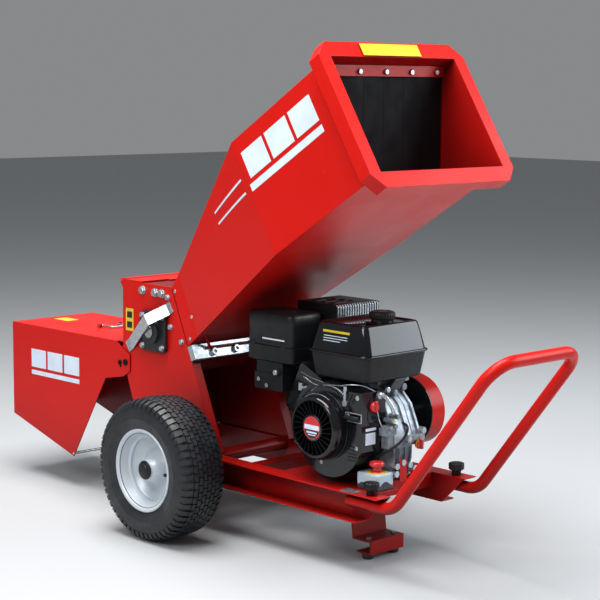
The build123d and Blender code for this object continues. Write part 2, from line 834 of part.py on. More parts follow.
crankcase_outline = [
    (292, 232),
    (560, 232),
    (578, 282),
    (578, 345),
    (545, 420),
    (480, 482),
    (350, 482),
    (300, 430),
]
engine_block = plate(crankcase_outline, block_near_y, block_far_y)
engine_block += tilted(box(60, 190, -40, 85, -62, 62))
for fin in range(9):
    fin_start = 96 + fin * 10
    engine_block += tilted(box(fin_start, fin_start + 4, -52, 97, -72, 72))
engine_block += tilted(box(190, 240, -5, 85, -50, 50))
engine_block += tilted(box(240, 264, 5, 75, -40, 40))
engine_block -= plate([(100, 100), (700, 100), (700, 232), (100, 232)], -200, 200)
engine_block -= rod_y(crank_x, crank_z, 80, -42, 88)
engine_block -= rod_y(crank_x, crank_z, 17.5 + running_gap, block_near_y - 1, block_far_y + 1)
for pad_x in (372, 480):
    engine_block += box(pad_x, pad_x + 20, -40, 80, 470, tank_floor_z)

crankshaft = rod_y(crank_x, crank_z, 17.5, -58, 104)
crankshaft += rod_y(crank_x, crank_z, 14, -150, 216)
for web_y in (-30, 45):
    crankshaft += rod_y(crank_x, crank_z, 45, web_y - 6, web_y + 12)
    crankshaft += plate(
        [(crank_x - 40, 330), (crank_x + 40, 330), (crank_x + 30, 300), (crank_x - 30, 300)],
        web_y - 6,
        web_y + 12,
    )
flywheel = rod_y(crank_x, crank_z, 103, -90, -74)
flywheel += rod_y(crank_x, crank_z, 30, -110, -74)
for blade in range(18):
    blade_box = box(62, 103, -112, -90, -1.5, 1.5)
    flywheel += Pos(crank_x, 0, crank_z) * Rot(0, blade * 20, 0) * blade_box
flywheel -= rod_y(crank_x, crank_z, 14, -113, -73)
engine_pulley = grooved_pulley(engine_pulley_radius, 14, crank_x, crank_z)

# Black sheet shroud round the flywheel, with a scroll below it, spread over the cylinder.
scroll_x = 424
scroll_z = 354
scroll_radius = 124
shroud_outer = rod_y(crank_x, crank_z, fan_radius, -150, block_near_y)
shroud_outer += rod_y(scroll_x, scroll_z, scroll_radius, -150, block_near_y)
shroud_outer += plate(
    [(crank_x, 468), (545, 468), (545, 312), (498, 262), (crank_x, 250)], -150, block_near_y
)
shroud_outer += tilted(box(0, 185, -105, block_near_y, -78, 62))
shroud_inner = rod_y(crank_x, crank_z, fan_radius - 3, -147, block_near_y + 1)
shroud_inner += rod_y(scroll_x, scroll_z, scroll_radius - 3, -147, block_near_y + 1)
shroud_inner += plate(
    [(crank_x, 465), (542, 465), (542, 313.5), (496.5, 265), (crank_x, 253)],
    -147,
    block_near_y + 1,
)
shroud_inner += tilted(box(0, 182, -102, block_near_y + 1, -75, 59))
fan_shroud = shroud_outer - shroud_inner
fan_shroud -= rod_y(crank_x, crank_z, 78, -151, -146)

recoil_profile = [
    (0, -195),
    (76, -195),
    (84, -188),
    (88, -170),
    (88, -150),
    (85, -150),
    (85, -170),
    (81, -186),
    (75, -192),
    (0, -192),
]
recoil_cover = turned(recoil_profile, crank_x, crank_z)
for slot in range(24):
    slot_box = box(34, 72, -196, -191, -2.2, 2.2)
    recoil_cover -= Pos(crank_x, 0, crank_z) * Rot(0, slot * 15, 0) * slot_box

grip_x = 517
grip_z = 402
grip_bar = box(grip_x - 24, grip_x + 24, -165, -152, grip_z - 7, grip_z + 7)
grip_bar = fillet(grip_bar.edges().filter_by(Axis.X), 5)
recoil_grip = grip_bar + rod_y(grip_x, grip_z, 2.5, -153, -78)
fan_shroud -= rod_y(grip_x, grip_z, 3.2, -151, -146)

# Fuel tank: pressed tub and tapered top joined at a rolled seam, hollow inside.
def tank_section(half_x, half_y, z, corner):
    """Rounded rectangle across the tank at a height."""
    return Pos(tank_x, tank_y, z) * RectangleRounded(2 * half_x, 2 * half_y, corner)


def tank_shell(inset):
    """Tub and dome of the tank, drawn in by an inset."""
    floor = tank_section(98 - inset, 110 - inset, tank_floor_z + inset, 22 - inset)
    middle = tank_section(108 - inset, 121 - inset, tank_seam_z, 22 - inset)
    top = tank_section(87 - inset, 106 - inset, tank_top_z - inset, 18 - inset)
    return loft([floor, middle], ruled=True) + loft([middle, top], ruled=True)


tank_seam = extrude(tank_section(112, 126, tank_seam_z - 3, 25), 6)
cap_x = 473
cap_y = 0
neck_bore = rod_z(cap_x, cap_y, 20, tank_top_z - 6, 651)
tank_neck = rod_z(cap_x, cap_y, 24, tank_top_z - 2, 650) - neck_bore
fuel_tank = tank_shell(0) + tank_seam - tank_shell(3) - neck_bore + tank_neck
fuel_cap = rod_z(cap_x, cap_y, 35, 643, 664)
fuel_cap = fillet(fuel_cap.faces().sort_by(Axis.Z)[-1].edges(), 4)
fuel_cap -= rod_z(cap_x, cap_y, 24.4, 642, 651)

# Air filter box over its intake, and the carburettor on the cylinder head.
air_filter_box = box(84, 265, -135, -8, 505, 640)
air_filter_box = fillet(air_filter_box.edges().filter_by(Axis.Z), 18)
air_filter_box = fillet(air_filter_box.faces().sort_by(Axis.Z)[-1].edges(), 9)
carburettor = box(178, 228, -60, -5, 432, 482)
carburettor += rod_y(203, 457, 20, -72, -5)
carburettor += box(112, 224, -128, -70, 425, 470)
for rib in range(5):
    rib_z = 470 + rib * 7
    carburettor += box(116, 220, -124, -70, rib_z - 2, rib_z + 5)
    carburettor += box(119, 217, -121, -70, rib_z + 5, min(rib_z + 7, 505))

exhaust_pipe = rod_z(214, 50, 18, 498, 545)
engine_block -= exhaust_pipe
muffler = box(165, 285, 20, 148, 540, 635)
muffler = fillet(muffler.edges().filter_by(Axis.Y), 25)
muffler += exhaust_pipe
muffler -= box(168, 282, 23, 145, 543, 632) + rod_z(214, 50, 15, 497, 545)
guard_outer = box(148, 303, 0, 167, 532, 660)
guard_inner = box(150, 301, 2, 165, 531, 658)
muffler_guard = guard_outer - guard_inner
for slot in range(12):
    slot_y = 14 + slot * 12.5
    muffler_guard -= box(300, 304, slot_y - 3, slot_y + 3, 560, 640)
for post_x in (180, 270):
    muffler_guard += rod_z(post_x, 84, 5, 635, 659)

# Small controls on the engine.
engine_switch = rod_x(-108, 430, 12, 545.3, 556)
engine_switch += box(555, 562, -111, -105, 418, 446)
throttle_x = 488
throttle_z = 436
throttle_lever = rod_y(throttle_x, throttle_z, 8, -156, -150.3)
throttle_lever += box(throttle_x - 4, throttle_x + 4, -155, -152, throttle_z, throttle_z + 44)
dipstick_y = 30
dipstick_z = 318
oil_dipstick = rod_x(dipstick_y, dipstick_z, 13, 578.3, 592)
oil_dipstick += box(591, 598, dipstick_y - 3, dipstick_y + 3, dipstick_z - 13, dipstick_z + 13)
oil_dipstick += rod_x(dipstick_y, dipstick_z, 4, 520, 579)
engine_block -= rod_x(dipstick_y, dipstick_z, 4.4, 515, 579)

# ---------------------------------------------------------------- lead to the stop switch

# Ignition lead from the crankcase, round its corner and down into the switch cover.
lead_radius = 3.5
lead_route = [
    (578.3, -30, 382),
    (603, -33, 376),
    (601, -43, 350),
    (590, -57, 330),
    (577, -72, 317),
    (558, -82, 303),
    (539, -87, 292),
    (533, -86, 274),
    (533, -85, 258.3),
]


def corner_radii(route):
    """Bend radius at each inner point: as large as its two runs leave room for."""
    radii = []
    for before, corner, after in zip(route, route[1:], route[2:]):
        run_in = Vector(*corner) - Vector(*before)
        run_out = Vector(*after) - Vector(*corner)
        half_turn = radians(run_in.get_angle(run_out)) / 2
        radii.append(0.45 * min(run_in.length, run_out.length) / tan(half_turn))
    return radii


lead_radii = corner_radii(lead_route)
print("stop lead radii", [round(radius, 1) for radius in lead_radii])
lead_path = FilletPolyline(*lead_route, radius=lead_radii)
lead_heading = Vector(*lead_route[1]) - Vector(*lead_route[0])
lead_section = Plane(origin=lead_route[0], z_dir=lead_heading) * Circle(lead_radius)
stop_lead = sweep(lead_section, path=lead_path)

# ---------------------------------------------------------------- fasteners

leg_bolts = Part()
for side in (-1, 1):
    leg_bolts += Pos(foot_x, side * foot_y, 52.5) * hex_head(13, 4)
curtain_bolts = Part()
for bolt_y in (-196, -98, 0, 98, 196):
    seat = Pos(curtain_x + 7.5, bolt_y, 1290) * Rot(0, 90, 0)
    curtain_bolts += seat * hex_head(13, 6)
hex_bolts = Compound(
    children=[both_sides(plate_bolts), anvil_screws, leg_bolts, curtain_bolts]
)

# ---------------------------------------------------------------- STEP files

parts = {
    "near_tyre": near_tyre,
    "near_rim": near_rim,
    "near_hub_cap": near_hub_cap,
    "far_tyre": far_copy(near_tyre),
    "far_rim": far_copy(near_rim),
    "far_hub_cap": far_copy(near_hub_cap),
    "axle": axle,
    "near_rail": near_rail,
    "far_rail": far_rail,
    "cross_members": cross_members,
    "engine_plate": engine_plate,
    "support_leg": support_leg,
    "rubber_feet": rubber_feet,
    "handlebar": handlebar,
    "near_clamp_knob": near_clamp_knob,
    "far_clamp_knob": far_clamp_knob,
    "estop_base": estop_base,
    "estop_cover": estop_cover,
    "estop_button": estop_button,
    "near_side_plate": near_side_plate,
    "far_side_plate": far_side_plate,
    "rotor_casing": rotor_casing,
    "anvil_bar": anvil_bar,
    "bed_knife": bed_knife,
    "bearing_housings": bearing_housings,
    "cover_hinge_pin": cover_hinge_pin,
    "top_cover": top_cover,
    "shaft_guard": shaft_guard,
    "hex_bolts": hex_bolts,
    "hopper_funnel": hopper_funnel,
    "hopper_rim": hopper_rim,
    "curtain_bar": curtain_bar,
    "curtain": curtain,
    "chute_hood": chute_hood,
    "chute_rod": chute_rod,
    "chute_handle": chute_handle,
    "rotor_shaft": rotor_shaft,
    "rotor_drum": rotor_drum,
    "rotor_knives": rotor_knives,
    "rotor_pulley": rotor_pulley,
    "drive_belts": drive_belts,
    "belt_guard": belt_guard,
    "belt_guard_back": belt_guard_back,
    "engine_block": engine_block,
    "crankshaft": crankshaft,
    "flywheel": flywheel,
    "engine_pulley": engine_pulley,
    "fan_shroud": fan_shroud,
    "recoil_cover": recoil_cover,
    "recoil_grip": recoil_grip,
    "fuel_tank": fuel_tank,
    "fuel_cap": fuel_cap,
    "air_filter_box": air_filter_box,
    "carburettor": carburettor,
    "muffler": muffler,
    "muffler_guard": muffler_guard,
    "engine_switch": engine_switch,
    "throttle_lever": throttle_lever,
    "oil_dipstick": oil_dipstick,
    "stop_lead": stop_lead,
}
for node, shape in parts.items():
    export_step(shape, f"parts/{node}.step")
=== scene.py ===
import math
import random

import bmesh
import bpy
from mathutils import Matrix, Vector


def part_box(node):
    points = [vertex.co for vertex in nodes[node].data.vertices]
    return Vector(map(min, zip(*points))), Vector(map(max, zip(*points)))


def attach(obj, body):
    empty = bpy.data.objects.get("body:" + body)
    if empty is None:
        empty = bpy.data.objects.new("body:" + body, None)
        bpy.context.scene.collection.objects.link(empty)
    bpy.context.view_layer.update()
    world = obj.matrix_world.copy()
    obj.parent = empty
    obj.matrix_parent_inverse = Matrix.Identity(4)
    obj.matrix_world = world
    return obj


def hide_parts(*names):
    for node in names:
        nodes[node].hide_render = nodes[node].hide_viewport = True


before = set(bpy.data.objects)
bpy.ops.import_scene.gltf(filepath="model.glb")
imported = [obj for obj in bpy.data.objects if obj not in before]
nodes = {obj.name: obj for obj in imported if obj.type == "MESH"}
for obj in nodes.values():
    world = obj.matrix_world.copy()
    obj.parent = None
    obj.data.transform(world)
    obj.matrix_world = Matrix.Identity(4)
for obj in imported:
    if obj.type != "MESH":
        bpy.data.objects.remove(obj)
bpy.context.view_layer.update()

# Centres of the axle and the crank, as in the CAD part, in metres.
AXLE = Vector((-0.057, 0.0, 0.200))
WHEEL_Y = 0.325
CRANK = Vector((0.408, 0.0, 0.364))
MM = 0.001

# Directions that pieces face: up, along the machine and towards the near side.
UP = (0, 0, 1)
ALONG = (1, 0, 0)
NEAR = (0, -1, 0)


# ---------------------------------------------------------------- camera, light and floor


def place_camera():
    """Camera for the usual three-quarter view, a little above the engine."""
    azimuth = math.radians(46.108)
    pitch = math.radians(7.417)
    roll = math.radians(0.369)
    look = Vector(
        (-math.sin(azimuth) * math.cos(pitch), math.cos(azimuth) * math.cos(pitch), -math.sin(pitch))
    )
    level = Vector((math.cos(azimuth), math.sin(azimuth), 0))
    rise = level.cross(look)
    right = level * math.cos(roll) + rise * math.sin(roll)
    up = rise * math.cos(roll) - level * math.sin(roll)
    data = bpy.data.cameras.new("camera")
    data.lens = 99.29
    data.sensor_width = 36
    data.clip_end = 60
    camera = bpy.data.objects.new("camera", data)
    bpy.context.scene.collection.objects.link(camera)
    turn = Matrix((right, up, -look)).transposed().to_4x4()
    place = (3.4506, -3.1677, 1.2559)
    camera.matrix_world = Matrix.Translation(place) @ turn
    bpy.context.scene.camera = camera


def area_light(name, place, target, size, power, colour=(1, 1, 1)):
    """Soft box aimed at a target."""
    data = bpy.data.lights.new(name, "AREA")
    data.shape = "RECTANGLE"
    data.size, data.size_y = size
    data.energy = power
    data.color = colour
    lamp = bpy.data.objects.new(name, data)
    bpy.context.scene.collection.objects.link(lamp)
    heading = Vector(target) - Vector(place)
    lamp.rotation_euler = heading.to_track_quat("-Z", "Y").to_euler()
    lamp.location = place


def studio():
    """Pale floor, even surround, and soft boxes overhead, behind right and in front."""
    world = bpy.data.worlds.new("studio")
    bpy.context.scene.world = world
    world.use_nodes = True
    surround = world.node_tree.nodes["Background"]
    surround.inputs["Color"].default_value = (0.94, 0.97, 1.0, 1)
    surround.inputs["Strength"].default_value = 0.26
    area_light("overhead", (0.0, -0.5, 4.0), (0.1, 0, 0.3), (3.2, 2.6), 320)
    area_light("back_right", (3.3, 3.5, 2.5), (0.3, 0.1, 0.8), (3.4, 3.0), 190, (0.86, 0.94, 1.0))
    area_light("front", (1.0, -3.6, 3.3), (0, 0, 0.5), (2.0, 1.6), 90)
    bpy.ops.mesh.primitive_plane_add(size=40, location=(0, 0, -0.0005))
    floor = bpy.context.object
    floor.name = "floor"
    paint = bpy.data.materials.new("floor")
    paint.use_nodes = True
    shader = paint.node_tree.nodes["Principled BSDF"]
    shader.inputs["Base Color"].default_value = (0.40, 0.41, 0.42, 1)
    shader.inputs["Roughness"].default_value = 0.8
    floor.data.materials.append(paint)


place_camera()
studio()
bpy.context.scene.view_settings.view_transform = "Standard"


# ---------------------------------------------------------------- materials


class Finish:
    """A procedural material, built up from layers of noise."""

    def __init__(self, name, colour, roughness, metallic=0.0):
        self.material = bpy.data.materials.new(name)
        self.material.use_nodes = True
        self.tree = self.material.node_tree
        self.shader = self.tree.nodes["Principled BSDF"]
        self.set("Base Color", (*colour, 1))
        self.set("Roughness", roughness)
        self.set("Metallic", metallic)
        self.colour = colour
        self.roughness = roughness
        self.coordinates = self.node("ShaderNodeTexCoord").outputs["Object"]

    def set(self, socket, value):
        self.shader.inputs[socket].default_value = value
        return self

    def node(self, kind, **settings):
        """New node, with its properties or input values set by name."""
        made = self.tree.nodes.new(kind)
        for key, value in settings.items():
            if hasattr(made, key):
                setattr(made, key, value)
            else:
                made.inputs[key].default_value = value
        return made

    def link(self, source, target):
        self.tree.links.new(source, target)

    def noise(self, scale, detail=3.0, stretch=None):
        texture = self.node("ShaderNodeTexNoise", Scale=scale, Detail=detail)
        source = self.coordinates
        if stretch:
            mapping = self.node("ShaderNodeMapping", Scale=stretch)
            self.link(source, mapping.inputs["Vector"])
            source = mapping.outputs["Vector"]
        self.link(source, texture.inputs["Vector"])
        return texture.outputs["Fac"]

    def ramp(self, source, low, high):
        """Map a value so that low[0] gives low[1] and high[0] gives high[1]."""
        spread = self.node("ShaderNodeMapRange")
        for end, (value, result) in (("Min", low), ("Max", high)):
            spread.inputs[f"From {end}"].default_value = value
            spread.inputs[f"To {end}"].default_value = result
        self.link(source, spread.inputs["Value"])
        return spread.outputs["Result"]

    def blend_colour(self, factor, other):
        blend = self.node("ShaderNodeMix", data_type="RGBA")
        blend.inputs["A"].default_value = (*self.colour, 1)
        blend.inputs["B"].default_value = (*other, 1)
        self.link(factor, blend.inputs["Factor"])
        feed = self.shader.inputs["Base Color"]
        if feed.is_linked:
            self.link(feed.links[0].from_socket, blend.inputs["A"])
        self.link(blend.outputs["Result"], feed)
        return self

    def colour_noise(self, other, scale, low=0.35, high=0.7, detail=3.0, stretch=None, amount=1.0):
        """Wander between the base colour and another one."""
        factor = self.ramp(self.noise(scale, detail, stretch), (low, 0), (high, amount))
        return self.blend_colour(factor, other)

    def worn_edges(self, other, amount):
        """Another colour, broken up, where the surface turns a sharp corner."""
        bevel = self.node("ShaderNodeBevel", samples=4, Radius=0.0025)
        plain = self.node("ShaderNodeNewGeometry")
        dot = self.node("ShaderNodeVectorMath", operation="DOT_PRODUCT")
        self.link(bevel.outputs["Normal"], dot.inputs[0])
        self.link(plain.outputs["Normal"], dot.inputs[1])
        edge = self.ramp(dot.outputs["Value"], (0.995, amount), (0.9995, 0))
        broken = self.node("ShaderNodeMath", operation="MULTIPLY")
        self.link(edge, broken.inputs[0])
        self.link(self.ramp(self.noise(60, 4), (0.4, 0), (0.65, 1)), broken.inputs[1])
        return self.blend_colour(broken.outputs["Value"], other)

    def painted_recess_shade(self, other, reach, amount):
        """Painted shade: another, darker colour where nearby surfaces close the view of the sky."""
        probe = self.node("ShaderNodeAmbientOcclusion", samples=8, Distance=reach)
        return self.blend_colour(self.ramp(probe.outputs["AO"], (0.30, amount), (0.85, 0)), other)

    def rough_noise(self, scale, spread, stretch=None):
        low = (0.3, max(0.02, self.roughness - spread))
        source = self.noise(scale, stretch=stretch)
        value = self.ramp(source, low, (0.7, self.roughness + spread))
        self.link(value, self.shader.inputs["Roughness"])
        return self

    def bump(self, scale, strength, distance=0.0004, detail=3.0, stretch=None):
        relief = self.node("ShaderNodeBump", Strength=strength, Distance=distance)
        self.link(self.noise(scale, detail, stretch), relief.inputs["Height"])
        feed = self.shader.inputs["Normal"]
        if feed.is_linked:
            self.link(feed.links[0].from_socket, relief.inputs["Normal"])
        self.link(relief.outputs["Normal"], feed)
        return self

    def soft_edges(self, radius=0.0012):
        """Round the look of sharp edges. Called after bump, it feeds the first bump."""
        bevel = self.node("ShaderNodeBevel", samples=4, Radius=radius)
        target = self.shader.inputs["Normal"]
        while target.is_linked:
            target = target.links[0].from_node.inputs["Normal"]
        self.link(bevel.outputs["Normal"], target)
        return self

    def shine(self, level):
        """Strength of the plain reflection, 0.5 being that of common plastics and paints."""
        return self.set("Specular IOR Level", level)

    def coat(self, weight):
        return self.set("Coat Weight", weight).set("Coat Roughness", 0.08)

def moulded(name, colour, roughness, gloss=0.0):
    """Moulded plastic: slight clouding and a fine grain."""
    finish = Finish(name, colour, roughness)
    finish.colour_noise(tuple(0.86 * value for value in colour), 22).rough_noise(60, 0.04)
    return finish.bump(700, 0.12, 0.0002).soft_edges().coat(gloss).material


def film(name, colour):
    """Printed or plain sticker film."""
    finish = Finish(name, colour, 0.34)
    finish.colour_noise(tuple(0.88 * value for value in colour), 18)
    return finish.rough_noise(30, 0.05).bump(120, 0.04, 0.0001).material


def alloy(name, colour, shade, scale, metallic):
    """Cast aluminium with a coarse grain."""
    finish = Finish(name, colour, 0.42, metallic).colour_noise(shade, scale, 0.4, 0.7, detail=5)
    return finish.rough_noise(60, 0.1).bump(280, 0.35, 0.0004, detail=5).soft_edges(0.0015).material


red = (
    Finish("red_powder_coat", (0.60, 0.0085, 0.005), 0.33)
    .colour_noise((0.54, 0.007, 0.004), 2.2, 0.35, 0.75)
    .colour_noise((0.64, 0.014, 0.008), 34, 0.62, 0.8, detail=5, amount=0.5)
    .worn_edges((0.30, 0.008, 0.007), 0.5)
    # painted shade: near-black red in recesses, undersides and between the side plates
    .painted_recess_shade((0.07, 0.002, 0.002), 0.45, 0.85)
    .rough_noise(9, 0.05)
    .bump(420, 0.08, 0.0003, detail=2)
    .bump(22, 0.05, 0.0016)
    .soft_edges(0.0016)
    .shine(0.18)
    .material
)
# Dark red with painted shade: the inner casing and rear apron coloured as the shadowed interior of the
# housing.
painted_shade_red = (
    Finish("red_sheet_painted_shade", (0.16, 0.005, 0.005), 0.42)
    .colour_noise((0.09, 0.005, 0.005), 14, 0.45, 0.8, detail=6, stretch=(1, 4, 4))
    .rough_noise(30, 0.1)
    .bump(300, 0.12, 0.0003)
    .soft_edges()
    .material
)
rubber = (
    Finish("tyre_rubber", (0.008, 0.009, 0.011), 0.50)
    .colour_noise((0.022, 0.026, 0.033), 18, 0.45, 0.75, detail=6)
    .rough_noise(40, 0.1)
    .bump(500, 0.25, 0.0003)
    .bump(60, 0.10, 0.0008)
    .material
)
silver = (
    Finish("silver_wheel_paint", (0.56, 0.61, 0.66), 0.36, 0.15)
    .colour_noise((0.49, 0.54, 0.59), 12, 0.4, 0.75, detail=5)
    .rough_noise(20, 0.06)
    .bump(600, 0.08, 0.0002)
    .material
)
zinc = (
    Finish("zinc_plate", (0.50, 0.54, 0.58), 0.32, 0.85)
    .colour_noise((0.44, 0.46, 0.49), 240, 0.45, 0.75, detail=2, amount=0.6)
    .colour_noise((0.62, 0.66, 0.70), 60, 0.5, 0.75)
    .rough_noise(120, 0.12)
    .bump(300, 0.12, 0.0002)
    .soft_edges(0.0008)
    .material
)
steel = (
    Finish("turned_steel", (0.55, 0.55, 0.56), 0.28, 1.0)
    .rough_noise(40, 0.1, stretch=(1, 12, 1))
    .bump(200, 0.1, 0.0002, stretch=(1, 14, 1))
    .soft_edges(0.0008)
    .material
)
cast_black = (
    Finish("black_casting", (0.010, 0.011, 0.013), 0.45)
    .colour_noise((0.020, 0.021, 0.025), 30, 0.4, 0.7)
    .bump(260, 0.35, 0.0005, detail=5)
    .soft_edges(0.002)
    .material
)
black_gloss = (
    Finish("black_gloss_paint", (0.004, 0.0045, 0.006), 0.10)
    .colour_noise((0.009, 0.010, 0.012), 8)
    .rough_noise(14, 0.04)
    .bump(40, 0.03, 0.0012)
    .soft_edges()
    .shine(0.45)
    .material
)
black_satin = (
    Finish("black_satin_plastic", (0.006, 0.0065, 0.008), 0.42)
    .colour_noise((0.011, 0.012, 0.014), 24)
    .rough_noise(50, 0.07)
    .bump(700, 0.2, 0.0002, detail=2)
    .soft_edges(0.0015)
    .shine(0.3)
    .material
)
# Dull black for screens and slots that see little light.
dark = (
    Finish("deep_black", (0.0022, 0.0024, 0.0030), 0.5)
    .rough_noise(60, 0.06)
    .bump(500, 0.15, 0.0002)
    .soft_edges()
    .shine(0.12)
    .material
)
curtain_black = (
    Finish("black_sheet_rubber", (0.004, 0.004, 0.005), 0.6)
    .colour_noise((0.006, 0.006, 0.007), 16, 0.4, 0.8, stretch=(1, 1, 0.3))
    .rough_noise(20, 0.1)
    .bump(160, 0.15, 0.0004)
    .shine(0.08)
    .material
)
aluminium = alloy("cast_aluminium", (0.34, 0.38, 0.42), (0.16, 0.18, 0.21), 55, 0.6)
grey_alloy = alloy("dark_aluminium", (0.10, 0.115, 0.135), (0.16, 0.18, 0.21), 60, 0.5)
iron = (
    Finish("machined_iron", (0.20, 0.20, 0.21), 0.45, 0.8)
    .colour_noise((0.12, 0.12, 0.125), 40)
    .bump(200, 0.2, 0.0003)
    .soft_edges()
    .material
)
light_plastic = moulded("light_grey_plastic", (0.43, 0.54, 0.62), 0.42)
dark_plastic = moulded("dark_grey_plastic", (0.040, 0.050, 0.060), 0.45)
red_plastic = moulded("red_gloss_plastic", (0.62, 0.025, 0.03), 0.28, 0.3)
yellow_film = film("yellow_film", (0.72, 0.52, 0.02))
white_film = film("white_film", (0.70, 0.80, 0.92))
black_film = film("black_film", (0.012, 0.012, 0.014))
red_film = film("red_film", (0.60, 0.02, 0.03))

looks = {
    red: "near_rail far_rail cross_members engine_plate support_leg handlebar near_side_plate "
    "far_side_plate top_cover hopper_funnel hopper_rim curtain_bar chute_hood belt_guard",
    painted_shade_red: "rotor_casing",
    rubber: "near_tyre far_tyre rubber_feet drive_belts",
    silver: "near_rim far_rim",
    zinc: "anvil_bar shaft_guard hex_bolts cover_hinge_pin chute_rod chute_handle throttle_lever",
    steel: "bed_knife axle rotor_shaft rotor_drum rotor_knives crankshaft",
    cast_black: "bearing_housings",
    black_gloss: "fan_shroud fuel_tank muffler belt_guard_back",
    black_satin: "near_hub_cap far_hub_cap near_clamp_knob far_clamp_knob recoil_cover recoil_grip "
    "fuel_cap air_filter_box carburettor muffler_guard stop_lead",
    curtain_black: "curtain",
    aluminium: "engine_block",
    iron: "flywheel engine_pulley rotor_pulley",
    light_plastic: "estop_cover",
    dark_plastic: "estop_base",
    red_plastic: "estop_button engine_switch oil_dipstick",
}
for material, names in looks.items():
    for name in names.split():
        mesh = nodes[name].data
        mesh.materials.clear()
        mesh.materials.append(material)


# ---------------------------------------------------------------- mesh building


def lerp(a, b, share):
    return a + (b - a) * share


def frame_on(direction):
    """Two unit vectors across a direction."""
    direction = direction.normalized()
    helper = Vector((0, 0, 1)) if abs(direction.z) < 0.9 else Vector((1, 0, 0))
    across = direction.cross(helper).normalized()
    return across, direction.cross(across).normalized()


def circle(across, other, segments, turn=0.0):
    """Unit spokes round a full turn."""
    for step in range(segments):
        angle = 2 * math.pi * step / segments + turn
        yield across * math.cos(angle) + other * math.sin(angle)


def smooth_line(points):
    """Catmull-Rom line through points."""
    steps = 6
    points = [Vector(point) for point in points]
    ends = [2 * points[0] - points[1], *points, 2 * points[-1] - points[-2]]
    line = []
    for index in range(1, len(ends) - 2):
        p0, p1, p2, p3 = ends[index - 1 : index + 3]
        for step in range(steps):
            t = step / steps
            line.append(
                0.5
                * (
                    2 * p1
                    + (p2 - p0) * t
                    + (2 * p0 - 5 * p1 + 4 * p2 - p3) * t**2
                    + (3 * p1 - p0 - 3 * p2 + p3) * t**3
                )
            )
    return [*line, points[-1]]


def rounded_section(centre, half, corner, z):
    """Rounded rectangle in a level plane, in metres."""
    outline = []
    steps = 6
    quarter = math.pi / 2
    for index, (sx, sy) in enumerate(((1, 1), (-1, 1), (-1, -1), (1, -1))):
        middle_x = centre[0] + sx * (half[0] - corner)
        middle_y = centre[1] + sy * (half[1] - corner)
        for step in range(steps + 1):
            angle = index * quarter + quarter * step / steps
            x = middle_x + corner * math.cos(angle)
            y = middle_y + corner * math.sin(angle)
            outline.append(Vector((x, y, z)))
    return outline


